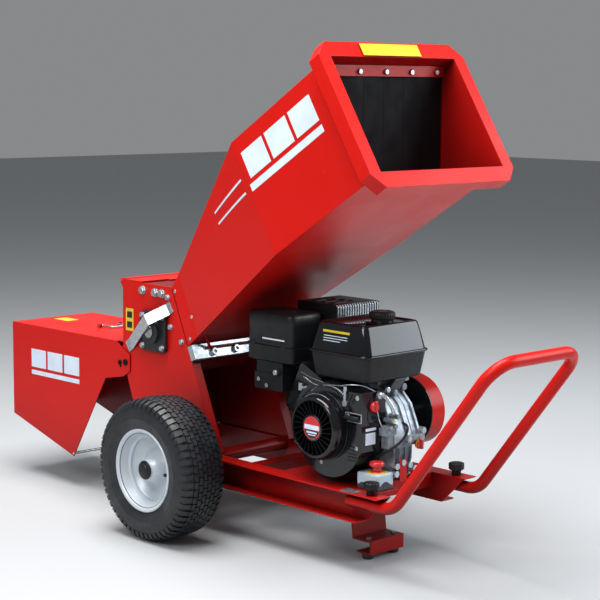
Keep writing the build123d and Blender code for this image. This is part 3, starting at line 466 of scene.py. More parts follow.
class Shape:
    """A mesh under construction, in metres."""

    def __init__(self):
        self.bm = bmesh.new()

    def rings(self, rings, closed=False):
        """Skin over rings of points that have the same count."""
        made = [[self.bm.verts.new(point) for point in ring] for ring in rings]
        count = len(made[0])
        pairs = list(zip(made, made[1:]))
        if closed:
            pairs.append((made[-1], made[0]))
        for first, second in pairs:
            for index in range(count):
                following = (index + 1) % count
                self.bm.faces.new((first[index], first[following], second[following], second[index]))
        if not closed:
            self.bm.faces.new(made[0][::-1])
            self.bm.faces.new(made[-1])
        return self

    def lathe(self, profile, centre, axis=(0, 1, 0), segments=72, closed=False):
        """Turn (radius, distance along the axis) points, in mm, about an axis."""
        axis = Vector(axis)
        across, along = frame_on(axis)
        rings = []
        for radius, distance in profile:
            middle = Vector(centre) + axis * distance * MM
            rings.append([middle + spoke * radius * MM for spoke in circle(across, along, segments)])
        return self.rings(rings, closed=closed)

    def stack(self, centre, rows):
        """Skin over level rounded rectangles: rows of half x, half y, z and corner, in mm."""
        sections = []
        for half_x, half_y, z, corner in rows:
            sections.append(rounded_section(centre, (half_x * MM, half_y * MM), corner * MM, z * MM))
        return self.rings(sections)

    def rod(self, start, end, radius, segments=24, chamfer=0.0):
        """Round bar between two points, in metres."""
        start, end = Vector(start), Vector(end)
        axis = (end - start).normalized()
        length = (end - start).length / MM
        wide = radius / MM
        cut = chamfer / MM
        profile = [(wide - cut, 0), (wide, cut), (wide, length - cut), (wide - cut, length)]
        if not cut:
            profile = [(wide, 0), (wide, length)]
        return self.lathe(profile, start, axis, segments)

    def tube(self, points, radius, segments=12):
        """Round wire along a smooth line."""
        line = smooth_line(points)
        across = None
        rings = []
        for index, point in enumerate(line):
            before = line[max(index - 1, 0)]
            after = line[min(index + 1, len(line) - 1)]
            heading = (after - before).normalized()
            if across is None:
                across = frame_on(heading)[0]
            across = (across - heading * across.dot(heading)).normalized()
            spokes = circle(across, heading.cross(across), segments)
            rings.append([point + spoke * radius for spoke in spokes])
        return self.rings(rings)

    def box(self, low, high):
        corners = [(low[0], low[1]), (high[0], low[1]), (high[0], high[1]), (low[0], high[1])]
        rings = [[Vector((x, y, z)) for x, y in corners] for z in (low[2], high[2])]
        return self.rings(rings)

    def prism(self, outline, y_low, y_high):
        """Plate with an outline of (x, z) points, in metres, between two values of Y."""
        return self.rings([[Vector((x, y, z)) for x, z in outline] for y in (y_low, y_high)])

    def sheet(self, corners, normal, thickness):
        """Flat plate on corners in space, raised along a normal."""
        lift = Vector(normal).normalized() * thickness
        base = [Vector(corner) for corner in corners]
        return self.rings([base, [corner + lift for corner in base]])

    def bolt(self, seat, normal, size):
        """Washer with a thin hexagon on it; size is half the hexagon's width over corners."""
        normal = Vector(normal).normalized()
        seat = Vector(seat)
        across, along = frame_on(normal)
        washer = size * 0.18
        self.rod(seat, seat + normal * washer, size * 1.12, 24)
        rings = []
        for radius, height in ((0.93, 0.0), (1.0, 0.04), (1.0, 0.04), (0.86, 0.04)):
            middle = seat + normal * (washer + size * height)
            rings.append([middle + spoke * radius * size for spoke in circle(across, along, 6, 0.3)])
        return self.rings(rings)

    def piece(self, name, material, slot, replaces=(), body="machine", bevel=0.0, smooth=38):
        """Turn the mesh into an object that rides on a CAD body."""
        bmesh.ops.recalc_face_normals(self.bm, faces=self.bm.faces)
        limit = math.radians(smooth)
        for edge in self.bm.edges:
            edge.smooth = len(edge.link_faces) == 2 and edge.calc_face_angle() < limit
        for face in self.bm.faces:
            face.smooth = True
        mesh = bpy.data.meshes.new(name)
        self.bm.to_mesh(mesh)
        self.bm.free()
        mesh.materials.append(material)
        made = bpy.data.objects.new(name, mesh)
        bpy.context.scene.collection.objects.link(made)
        if bevel:
            rounding = made.modifiers.new("edges", "BEVEL")
            rounding.width = bevel
            rounding.segments = 2
            rounding.limit_method = "ANGLE"
            rounding.angle_limit = math.radians(30)
            rounding.harden_normals = True
        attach(made, body)
        if replaces:
            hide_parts(*replaces)
        return made


def mm(*values):
    """A point given in millimetres, as metres."""
    return Vector(values) * MM


def around(centre, radius, angle, y):
    """Point at a radius and an angle round a centre, and at y, in mm."""
    return centre + mm(radius * math.cos(angle), y, radius * math.sin(angle))


def plan(name):
    """Middle and half size of a node, seen from above."""
    low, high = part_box(name)
    return ((low.x + high.x) / 2, (low.y + high.y) / 2), ((high.x - low.x) / 2, (high.y - low.y) / 2)


def inset_rows(half, rows):
    """Rows for a stack, from an inset, z and corner radius in mm each."""
    return [(half[0] / MM - inset, half[1] / MM - inset, z, corner) for inset, z, corner in rows]


# ---------------------------------------------------------------- wheels


def crown(y):
    """Tread radius in mm at a distance in mm from the middle of the tyre."""
    y = abs(y)
    if y < 50:
        return 199.6 - 3.2 * (y / 50) ** 2
    return 196.4 - 13 * ((y - 50) / 20) ** 2


TREAD_ROWS = ((-44, -31), (-28, -16), (-13, -1.5), (1.5, 13), (16, 28), (31, 44))
TREAD_PITCHES = 58


def tread_block(shape, centre, angle_low, angle_high, edges, depth):
    """One raised rubber block; edges are (y, skew) pairs across the tread."""
    outer = []
    inner = []
    for angle, column in ((angle_low, 0), (lerp(angle_low, angle_high, 0.5), 1), (angle_high, 2)):
        for y, skew in edges:
            place = y + skew * (1 if column == 1 else -1)
            outer.append(around(centre, crown(place), angle, place))
            inner.append(around(centre, crown(place) - depth, angle, place))
    order = (0, 2, 4, 5, 3, 1)
    shape.rings([[inner[index] for index in order], [outer[index] for index in order]])


def build_tyre(side, name, body, replaced):
    """Tyre with six staggered rows of tread blocks and lugs on both shoulders."""
    centre = Vector((AXLE.x, side * WHEEL_Y, AXLE.z))
    half = [
        (103, 56), (103, 63), (109, 64.5), (113.5, 66), (116, 65.5), (119, 67.5), (128, 71),
        (140, 73.6), (143.5, 74.6), (146, 74.6), (148.5, 74), (158, 74.3), (168, 73), (176, 70.5),
        (184, 67), (189, 60), (191.5, 50), (193.5, 30), (194.5, 10),
    ]
    outside = half + [(radius, -y) for radius, y in reversed(half)]
    inside = [(112, -58), (150, -67), (176, -63), (186, -46), (188, 0)]
    inside += [(radius, -y) for radius, y in reversed(inside[:-1])]
    carcass = Shape().lathe(outside + inside, centre, segments=96, closed=True)
    step = 2 * math.pi / TREAD_PITCHES
    for row, (low, high) in enumerate(TREAD_ROWS):
        shift = 0.5 * (row % 2)
        skew = 1.3 if row % 2 else -1.3
        for pitch in range(TREAD_PITCHES):
            start = (pitch + shift) * step
            edges = ((low, skew), (high, skew))
            tread_block(carcass, centre, start, start + 0.84 * step, edges, 5.5)
    for pitch in range(TREAD_PITCHES):
        for end in (-1, 1):
            start = (pitch + 0.25) * step
            lug = []
            for angle in (start, start + 0.62 * step):
                tread = [(crown(y), y) for y in (47, 56, 63)]
                shoulder = [(188, 68.5), (182, 71.5), (175, 73), (170, 68), (182, 60), (187, 47)]
                lug.append([around(centre, radius, angle, end * y) for radius, y in tread + shoulder])
            carcass.rings(lug)
    carcass.piece(name, rubber, "tyre_rubber", [replaced], body, smooth=32)


def build_rim(side, prefix, body):
    """Dished wheel with a flange ring, a cone up to the hub, a hub cap and a valve."""
    centre = Vector((AXLE.x, side * WHEEL_Y, AXLE.z))
    axis = (0, side, 0)
    face = [
        (115, 64.5), (116, 66), (115.6, 68), (113.5, 69.2), (110.5, 68.8), (107, 66.6), (103.5, 62),
        (101, 55), (98, 46), (93, 35), (86, 24), (77, 15), (68, 9.6), (60, 8.4), (54, 10.6),
        (48, 17), (43, 26), (38.5, 35), (34, 42), (29.5, 46.5), (27, 49), (25.4, 52), (25, 56),
    ]
    back = [
        (14, 56), (14, -47), (24, -48), (24.5, 40), (31, 40), (38, 28), (45, 12), (54, 5.5),
        (66, 5), (80, 10), (86, 12), (86, -34), (100, -46), (101.5, -60), (105, -66), (112, -69),
        (115.5, -68), (115, -64.5), (104, -63.5), (102.6, -56), (102.6, -46), (89, -38), (89, 36),
        (102.6, 45), (102.6, 62), (108, 64.2),
    ]
    rim = Shape().lathe(face + back, centre, axis, segments=96, closed=True)
    rim.piece(f"{prefix}_wheel_rim", silver, "silver_paint", [f"{prefix}_rim"], body, smooth=50)
    cap = [
        (11, 66), (13.6, 65.7), (15.6, 64.6), (16.7, 62.8), (17.2, 61.4), (22.6, 61), (25, 60),
        (26.4, 58), (26.6, 56), (26, 55.8),
    ]
    cover = Shape().lathe(cap, centre, axis, segments=48)
    cover.piece(f"{prefix}_hub_cover", black_satin, "cap_plastic", [f"{prefix}_hub_cap"], body, smooth=60)
    bend = Vector((0.080, 0, -0.004))
    root = centre + bend + Vector(axis) * 0.016
    tip = root + Vector((-0.006, side * 0.020, 0))
    valve = Shape().rod(root, tip, 0.0042, 16)
    valve.rod(tip, tip + Vector((-0.004, side * 0.011, 0)), 0.0048, 16, 0.001)
    valve.piece(f"{prefix}_tyre_valve", black_satin, "cap_plastic", body=body, smooth=40)


build_tyre(-1, "near_tyre_treaded", "near_wheel", "near_tyre")
build_tyre(1, "far_tyre_treaded", "far_wheel", "far_tyre")
build_rim(-1, "near", "near_wheel")
build_rim(1, "far", "far_wheel")


# ---------------------------------------------------------------- fuel tank and cap


def build_tank():
    """Tub, rolled seam and domed top with the filler neck."""
    centre = plan("fuel_tank")[0]
    tub = [(94, 106, 489, 18), (98, 110, 492, 20), (103.5, 116, 525, 22), (108, 121, 557, 24)]
    Shape().stack(centre, tub).piece("tank_tub", black_satin, "black_sheet", ["fuel_tank"])
    seam = [
        (108, 121, 554.5, 25), (111, 124.5, 555, 25), (112.3, 126.2, 557, 25),
        (112.3, 126.2, 559.5, 25), (111, 124.8, 561.5, 25), (108.5, 121.5, 562.5, 25),
    ]
    Shape().stack(centre, seam).piece("tank_seam", black_gloss, "black_sheet", smooth=60)
    dome = [
        (107.5, 120.5, 561, 24), (105.5, 118.8, 570, 23), (97, 112.6, 602, 20), (89.6, 107.6, 627, 18),
        (87, 105.4, 633, 17), (84.6, 103, 636, 15), (81, 99.5, 637.2, 13), (77, 95.5, 636, 10),
        (75, 93.5, 633.4, 9), (73, 91.5, 632, 8),
    ]
    top = Shape().stack(centre, dome)
    top.lathe([(45, -1), (46, 2.5), (43, 4), (30, 4.4), (29, 13), (20, 13)], mm(473, 0, 632), UP)
    top.piece("tank_dome", black_gloss, "black_sheet", smooth=46)


def build_cap():
    rings = []
    flutes = 28
    for radius, z, depth in (
        (33, 643.2, 0), (35, 645, 1.1), (35, 655, 1.1), (34, 658.6, 0.8), (31, 661.6, 0.2),
        (26, 663.2, 0), (23.4, 663.4, 0), (21.6, 662.2, 0), (19, 662, 0),
    ):
        ring = []
        for step, spoke in enumerate(circle(Vector((1, 0, 0)), Vector((0, 1, 0)), flutes * 4)):
            reach = radius - (depth if step % 4 in (0, 1) else 0)
            ring.append(mm(473, 0, z) + spoke * reach * MM)
        rings.append(ring)
    cap = Shape().rings(rings)
    cap.box(mm(469.5, -17, 661.5), mm(476.5, 17, 663.9))
    cap.piece("tank_cap_fluted", black_satin, "black_plastic", ["fuel_cap"], "tank_cap", bevel=0.0006)


def tank_face(x_low, x_high, z_low, z_high):
    """Corners of a label on the sloping near face of the tank's dome."""
    corners = ((x_low, z_low), (x_high, z_low), (x_high, z_high), (x_low, z_high))
    return [Vector((x, -0.1277 + (z - 0.602) * 0.196, z)) for x, z in corners]


def build_tank_label():
    slope = (0, -1, 0.196)
    bar = Shape().sheet(tank_face(0.378, 0.476, 0.6105, 0.6165), slope, 0.0006)
    bar.piece("tank_label_bar", yellow_film, "black_sheet")
    lines = Shape()
    for x_high, z in ((0.470, 0.6010), (0.470, 0.5945), (0.446, 0.5880)):
        lines.sheet(tank_face(0.383, x_high, z, z + 0.0018), slope, 0.0006)
    lines.piece("tank_label_lines", white_film, "black_sheet")


build_tank()
build_tank_label()
build_cap()


# ---------------------------------------------------------------- air filter and muffler guard


def build_air_filter():
    near_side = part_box("air_filter_box")[0].y
    centre, half = plan("air_filter_box")
    base = inset_rows(half, ((4, 505, 15), (0, 508, 19), (0, 548, 19), (2.5, 549.5, 16.5)))
    Shape().stack(centre, base).piece(
        "air_filter_base", black_satin, "black_plastic", ["air_filter_box"], smooth=50
    )
    rows = (
        (3.5, 549, 15), (1, 550.5, 18), (1, 606, 19), (0.2, 608, 19), (0.2, 629, 19), (1.4, 633, 18),
        (4.4, 637.4, 16), (8, 639.6, 14), (12, 640, 12),
    )
    cover = Shape().stack(centre, inset_rows(half, rows))
    cover.piece("air_filter_cover", black_satin, "black_plastic", smooth=30)
    trim = Shape().box((0.150, -0.1352, 0.566), (0.238, -0.1336, 0.570))
    trim.piece("air_filter_badge", white_film, "zinc", bevel=0.0003)
    clips = Shape()
    for x in (0.112, 0.232):
        clips.box((x - 0.009, near_side - 0.0001, 0.538), (x + 0.009, near_side + 0.004, 0.560))
    clips.rod(mm(204, -71, 638), mm(204, -71, 641), 0.009, 6)
    clips.piece("air_filter_clips", black_satin, "black_plastic", bevel=0.001)


def build_muffler_guard():
    """Pressed heat guard: flat top, solid skirts and a row of slats on the handle side."""
    low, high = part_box("muffler_guard")
    sheet = 0.0018
    slat_low = high.z - 0.040
    shell = Shape()
    shell.box((low.x, low.y, high.z - sheet), (high.x - 0.004, high.y, high.z))
    shell.box((low.x, low.y, low.z), (low.x + sheet, high.y, high.z - sheet))
    shell.box((low.x + sheet, low.y, low.z), (high.x, low.y + sheet, high.z - sheet))
    shell.box((low.x + sheet, high.y - sheet, low.z), (high.x, high.y, high.z - sheet))
    shell.box((high.x - sheet, low.y + sheet, low.z), (high.x, high.y - sheet, slat_low))
    for x in (0.19, 0.225, 0.26):
        for y in (0.045, 0.12):
            shell.box((x - 0.010, y - 0.022, high.z - 0.0001), (x + 0.010, y + 0.022, high.z + 0.0016))
    shell.piece("muffler_guard_shell", black_satin, "black_sheet", ["muffler_guard"], bevel=0.0007)
    slats = Shape()
    count = 17
    for index in range(count):
        y = lerp(low.y + 0.006, high.y - 0.006, index / (count - 1))
        line = [
            (high.x - 0.0016, slat_low + 0.001),
            (high.x + 0.0008, slat_low + 0.001),
            (high.x + 0.0008, high.z - 0.006),
            (high.x - 0.005, high.z + 0.0004),
            (high.x - 0.005, high.z - 0.002),
            (high.x - 0.0016, high.z - 0.007),
        ]
        slats.prism(line, y - 0.0027, y + 0.0027)
    slats.piece("muffler_guard_slats", zinc, "black_sheet", bevel=0.0005)


build_air_filter()
build_muffler_guard()


# ---------------------------------------------------------------- recoil starter and fan housing


def chord_band(shape, radius, z_low, z_high, y_low, y_high):
    """Slice of a round badge over the crank, between two heights from its middle."""
    start = math.asin(z_low / radius)
    finish = math.asin(z_high / radius)
    right = [lerp(start, finish, step / 8) for step in range(9)]
    left = [math.pi - angle for angle in reversed(right)]
    outline = [(radius * math.cos(angle), radius * math.sin(angle)) for angle in right + left]
    shape.prism([(CRANK.x + x, CRANK.z + z) for x, z in outline], y_low, y_high)


def build_recoil():
    """Starter cover with its curved fins, screen, badge and bolts."""
    ring = [
        (88.4, 150), (88.4, 168), (86.6, 178), (83.4, 187), (79.5, 192.4), (76, 194.4), (73.4, 194.2),
        (72.6, 191.6), (72.6, 176), (80, 172), (84, 162), (84, 150),
    ]
    cover = Shape().lathe(ring, CRANK, NEAR, segments=96, closed=True)
    cover.lathe([(36, 176), (36, 192), (34.4, 194.4), (31, 194.8), (6, 194.8)], CRANK, NEAR, 64)
    grille = Shape()
    fins = 26
    for fin in range(fins):
        angle = 2 * math.pi * fin / fins
        rings = []
        for radius, turn in ((35, angle), (74, angle + math.radians(9))):
            skew = Vector((-math.sin(turn), 0, math.cos(turn))) * 0.0013
            back, front = (around(CRANK, radius, turn, y) for y in (-180, -192.5))
            rings.append([back - skew, back + skew, front + skew, front - skew])
        grille.rings(rings)
    grille.piece("recoil_grille", dark, "black_sheet", smooth=40)
    cover.piece("recoil_cover_finned", black_gloss, "black_sheet", ["recoil_cover"], smooth=40)
    back = Shape().lathe([(86, 158), (86, 160), (4, 160)], CRANK, NEAR, 64)
    back.piece("recoil_screen", dark, "black_sheet", smooth=40)
    badge = Shape().lathe([(31, 194.6), (30.4, 195.2), (3, 195.2)], CRANK, NEAR, 64)
    badge.piece("starter_badge", red_film, "red_plastic", smooth=30)
    shade = Shape()
    chord_band(shade, 0.0272, -0.0266, -0.0055, -0.1955, -0.1950)
    shade.piece("starter_badge_shade", black_film, "red_plastic")
    bars = Shape()
    chord_band(bars, 0.0272, -0.0040, 0.0080, -0.1956, -0.1950)
    for half, z_low, z_high in ((0.019, 0.3500, 0.3545), (0.014, 0.3445, 0.3470)):
        bars.box((CRANK.x - half, -0.1958, z_low), (CRANK.x + half, -0.1953, z_high))
    bars.piece("starter_badge_bars", white_film, "grey_plastic")
    nuts = Shape()
    for turn in (25, 145, 265):
        nuts.bolt(around(CRANK, 99, math.radians(turn), -150), NEAR, 0.0052)
    nuts.bolt(mm(530, -150, 455), NEAR, 0.006)
    nuts.bolt(mm(528, -150, 322), NEAR, 0.005)
    nuts.piece("shroud_bolts", zinc, "zinc")


def arc_band(shape, radii, angles, y_front, steps):
    """Raised band on the fan housing's face, following a circle round the crank, in mm."""
    rings = []
    for step in range(steps + 1):
        angle = math.radians(lerp(*angles, step / steps))
        section = ((radii[0], -149.5), (radii[0], y_front), (radii[1], y_front), (radii[1], -149.5))
        rings.append([around(CRANK, radius, angle, y) for radius, y in section])
    shape.rings(rings)


def build_housing_relief():
    """Raised rings, ribs and the grip's frame on the fan housing, and thin zinc lines as painted edge
    highlights.
    """
    face = -0.1495
    relief = Shape()
    arc_band(relief, (88.5, 92.5), (0, 360), -156, 72)
    arc_band(relief, (103.5, 108.5), (60, 250), -153.5, 48)
    for index in range(4):
        x = 0.470 + 0.013 * index
        slant = [(x, 0.438), (x + 0.004, 0.438), (x + 0.016, 0.462), (x + 0.012, 0.462)]
        relief.prism(slant, face, -0.1525)
    for index in range(5):
        z = 0.286 + 0.009 * index
        relief.prism([(0.497, z), (0.528, z), (0.528, z + 0.003), (0.497, z + 0.003)], face, -0.1520)
    relief.piece("fan_housing_relief", black_gloss, "black_sheet", bevel=0.0009)
    corners = [mm(489, -151, 391), mm(545, -151, 391), mm(545, -151, 413), mm(489, -151, 413)]
    surround = Shape()
    for start, end in zip(corners, corners[1:] + corners[:1]):
        surround.tube([start, start.lerp(end, 0.5), end], 0.0016)
    surround.piece("grip_surround", zinc, "zinc")
    # Painted highlights: thin zinc lines along the tab's outline and the starter cover's rim, standing for
    # light caught on their edges.
    painted_highlights = Shape()
    spine = ((359, 451), (387, 467), (425, 474), (454, 470), (482, 457))
    painted_highlights.tube([mm(x, -150.5, z) for x, z in spine], 0.0009, 8)
    crest = [around(CRANK, 87.8, math.radians(turn), -172.5) for turn in range(62, 152, 10)]
    painted_highlights.tube(crest, 0.0010, 8)
    painted_highlights.piece("fan_housing_painted_highlights", zinc, "zinc")


def build_grip():
    low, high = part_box("recoil_grip")
    z_mid = (low.z + high.z) / 2
    rings = []
    for share, radius in ((0, 4.4), (0.05, 6.3), (0.3, 5.4), (0.5, 6.4), (0.7, 5.4), (0.95, 6.3), (1, 4.4)):
        middle = Vector((lerp(low.x, high.x, share), -0.1585, z_mid))
        spokes = circle(Vector((0, 1, 0)), Vector((0, 0, 1)), 20)
        rings.append([middle + spoke * radius * MM for spoke in spokes])
    grip = Shape().rings(rings)
    grip.rod((0.517, -0.153, z_mid), (0.517, high.y, z_mid), 0.0024, 12)
    grip.piece(
        "starter_grip_moulded", black_satin, "black_plastic", ["recoil_grip"], "starter_grip", smooth=60
    )


build_recoil()
build_housing_relief()
build_grip()


# ---------------------------------------------------------------- stop switch


def wave_outline(x_low, x_high, base, crest, waves):
    """Flat-bottomed outline whose top edge rises in smooth waves."""
    points = [(x_high, base), (x_low, base)]
    steps = 24
    for step in range(steps + 1):
        share = step / steps
        lift = 0.5 - 0.5 * math.cos(2 * math.pi * waves * share)
        points.append((lerp(x_low, x_high, share), base + 0.010 + crest * lift))
    return points


def build_stop_switch():
    """Base with wavy skirts, cover, and red mushroom button on a yellow disc."""
    low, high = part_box("estop_cover")
    centre, half = plan("estop_cover")
    floor_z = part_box("estop_base")[0].z
    foot = floor_z / MM
    base = inset_rows(half, ((1.5, foot, 4), (0.4, foot + 1.2, 4), (0.4, foot + 17, 4)))
    Shape().stack(centre, base).piece(
        "stop_switch_base", dark_plastic, "dark_plastic", ["estop_base"], smooth=50
    )
    skirts = Shape()
    outline = wave_outline(low.x + 0.004, high.x - 0.004, floor_z + 0.001, 0.008, 2)
    skirts.prism(outline, low.y, low.y + 0.0012)
    outline = wave_outline(low.y + 0.004, high.y - 0.004, floor_z + 0.001, 0.012, 1)
    for x in (high.x - 0.0012, low.x):
        skirts.rings([[Vector((place, y, z)) for y, z in outline] for place in (x, x + 0.0012)])
    screw = Vector((high.x - 0.0004, centre[1], floor_z + 0.011))
    skirts.lathe([(8.5, 0), (8.5, 1.2), (6.2, 1.2), (6.2, 0.2)], screw, ALONG, 32, True)
    skirts.piece("stop_switch_skirts", dark_plastic, "dark_plastic", bevel=0.0004)
    cover = inset_rows(half, ((0.2, 226, 4.9), (0.2, 253, 4.9), (0.9, 256.2, 4.55), (3, 258, 3.5)))
    Shape().stack(centre, cover).piece(
        "stop_switch_cover", light_plastic, "grey_plastic", ["estop_cover"], smooth=40
    )
    top = Vector((0.559, -0.105, high.z))
    disc = Shape().lathe([(27, 0), (27, 0.6), (26.4, 1.0), (17, 1.0)], top, UP, 64)
    disc.piece("stop_switch_disc", yellow_film, "grey_plastic", smooth=50)
    collar = Shape().lathe([(16.5, 0), (16.5, 3), (15.5, 4), (9.6, 4)], top, UP, 48)
    collar.piece("stop_switch_collar", red_plastic, "red_plastic", smooth=50)
    mushroom = [
        (9, 243), (9, 262.5), (12.6, 263), (13, 264.5), (11.4, 268), (11.6, 271), (14.5, 274),
        (19, 275.6), (20, 277.4), (20, 281.5), (19.2, 284.6), (16.8, 286.8), (12, 287.8), (5, 288),
    ]
    Shape().lathe(mushroom, (top.x, top.y, 0), UP, 64).piece(
        "stop_button_mushroom", red_plastic, "red_plastic", ["estop_button"], "stop_button", smooth=60
    )


# ---------------------------------------------------------------- pull handle and its clamps


def build_knob(name, body, replaced):
    """Lobed clamp knob on a threaded stud."""
    centre = Vector((*plan(replaced)[0], 0))
    rings = []
    lobes = 7
    for reach, z in ((0.86, 229.6), (1, 231.5), (1, 244.5), (0.95, 247.4), (0.8, 248.8), (0.4, 249)):
        ring = []
        for step in range(lobes * 12):
            angle = 2 * math.pi * step / (lobes * 12)
            radius = reach * (19.4 + 2.0 * abs(math.cos(lobes * angle / 2)) ** 0.6)
            ring.append(centre + mm(radius * math.cos(angle), radius * math.sin(angle), z))
        rings.append(ring)
    knob = Shape().rings(rings)
    knob.lathe([(12, 215.6), (12.6, 217), (12.6, 226), (15, 230), (15, 231)], centre, UP, 40)
    knob.piece(name, black_satin, "knob_plastic", [replaced], body, smooth=50)
    stud = Shape().rod(centre + mm(0, 0, 210.7), centre + mm(0, 0, 216), 0.0049, 20)
    stud.lathe([(9.5, 215.2), (9.5, 217.5), (6, 217.6)], centre, UP, 32)
    stud.piece(f"{name}_stud", zinc, "zinc", body=body)


# ---------------------------------------------------------------- engine details


CRANKCASE = (
    (0.292, 0.232), (0.560, 0.232), (0.578, 0.282), (0.578, 0.345), (0.545, 0.420),
    (0.480, 0.482), (0.350, 0.482), (0.300, 0.430),
)
CYLINDER_TILT = math.radians(155)


def swollen(outline, scale):
    """An (x, z) outline scaled about the crank."""
    return [(CRANK.x + (x - CRANK.x) * scale, CRANK.z + (z - CRANK.z) * scale) for x, z in outline]


def tilted_block(shape, along, y_range, across):
    """Block on the cylinder's axis, in mm from the crank."""
    outline = []
    for reach, side in ((0, 0), (1, 0), (1, 1), (0, 1)):
        place = around(CRANK, along[reach], CYLINDER_TILT, 0)
        place += mm(-across[side] * math.sin(CYLINDER_TILT), 0, across[side] * math.cos(CYLINDER_TILT))
        outline.append((place.x, place.z))
    shape.prism(outline, y_range[0] * MM, y_range[1] * MM)


def build_engine_block():
    """Crankcase with its two seam ribs, tapered side cover, and finned cylinder and head."""
    case = Shape()
    case.prism(CRANKCASE, -0.060, 0.010)
    case.prism([(0.300, 0.322), (0.578, 0.322), *CRANKCASE[3:]], 0.0095, 0.034)
    rear = [
        (0.330, 0.290), (0.535, 0.290), (0.548, 0.345), (0.520, 0.410), (0.465, 0.470),
        (0.360, 0.470), (0.315, 0.425),
    ]
    rings = []
    for scale, y in ((1.0, 0.033), (0.97, 0.050), (0.66, 0.090), (0.60, 0.105)):
        rings.append([Vector((x, y, z)) for x, z in swollen(rear, scale)])
    case.rings(rings)
    for x_low in (0.372, 0.480):
        case.box((x_low, -0.040, 0.470), (x_low + 0.020, 0.080, 0.489))
    case.piece("crankcase", aluminium, "cast_aluminium", ["engine_block"], bevel=0.003)

    cylinder = Shape()
    tilted_block(cylinder, (84, 190), (-40, 85), (-62, 62))
    for fin in range(9):
        start = 96 + 10 * fin
        tilted_block(cylinder, (start, start + 4), (-52, 97), (-72, 72))
    tilted_block(cylinder, (190, 240), (-5, 85), (-50, 50))
    tilted_block(cylinder, (240, 264), (5, 75), (-40, 40))
    cylinder.piece("cylinder_finned", grey_alloy, "cast_aluminium", bevel=0.001)

    seam = [(0.480, 0.345), (0.578, 0.345), (0.545, 0.420), (0.500, 0.464), (0.480, 0.420)]
    ribs = Shape()
    ribs.prism(swollen(seam, 1.035), 0.029, 0.037)
    ribs.prism(swollen(seam, 1.035), -0.013, -0.006)
    ribs.prism([(0.560, 0.330), (0.586, 0.330), (0.586, 0.345), (0.560, 0.345)], -0.013, 0.037)
    for y, z in ((0.042, 0.352), (0.036, 0.336), (-0.012, 0.336)):
        ribs.rod((0.548, y, z), (0.590, y, z), 0.0105, 24, 0.001)
    ribs.rod((0.495, 0.034, 0.462), (0.526, 0.034, 0.462), 0.0095, 24, 0.001)
    ribs.rod((0.500, -0.008, 0.452), (0.534, -0.008, 0.452), 0.0085, 24, 0.001)
    ribs.piece("crankcase_ribs", aluminium, "cast_aluminium", bevel=0.0016)


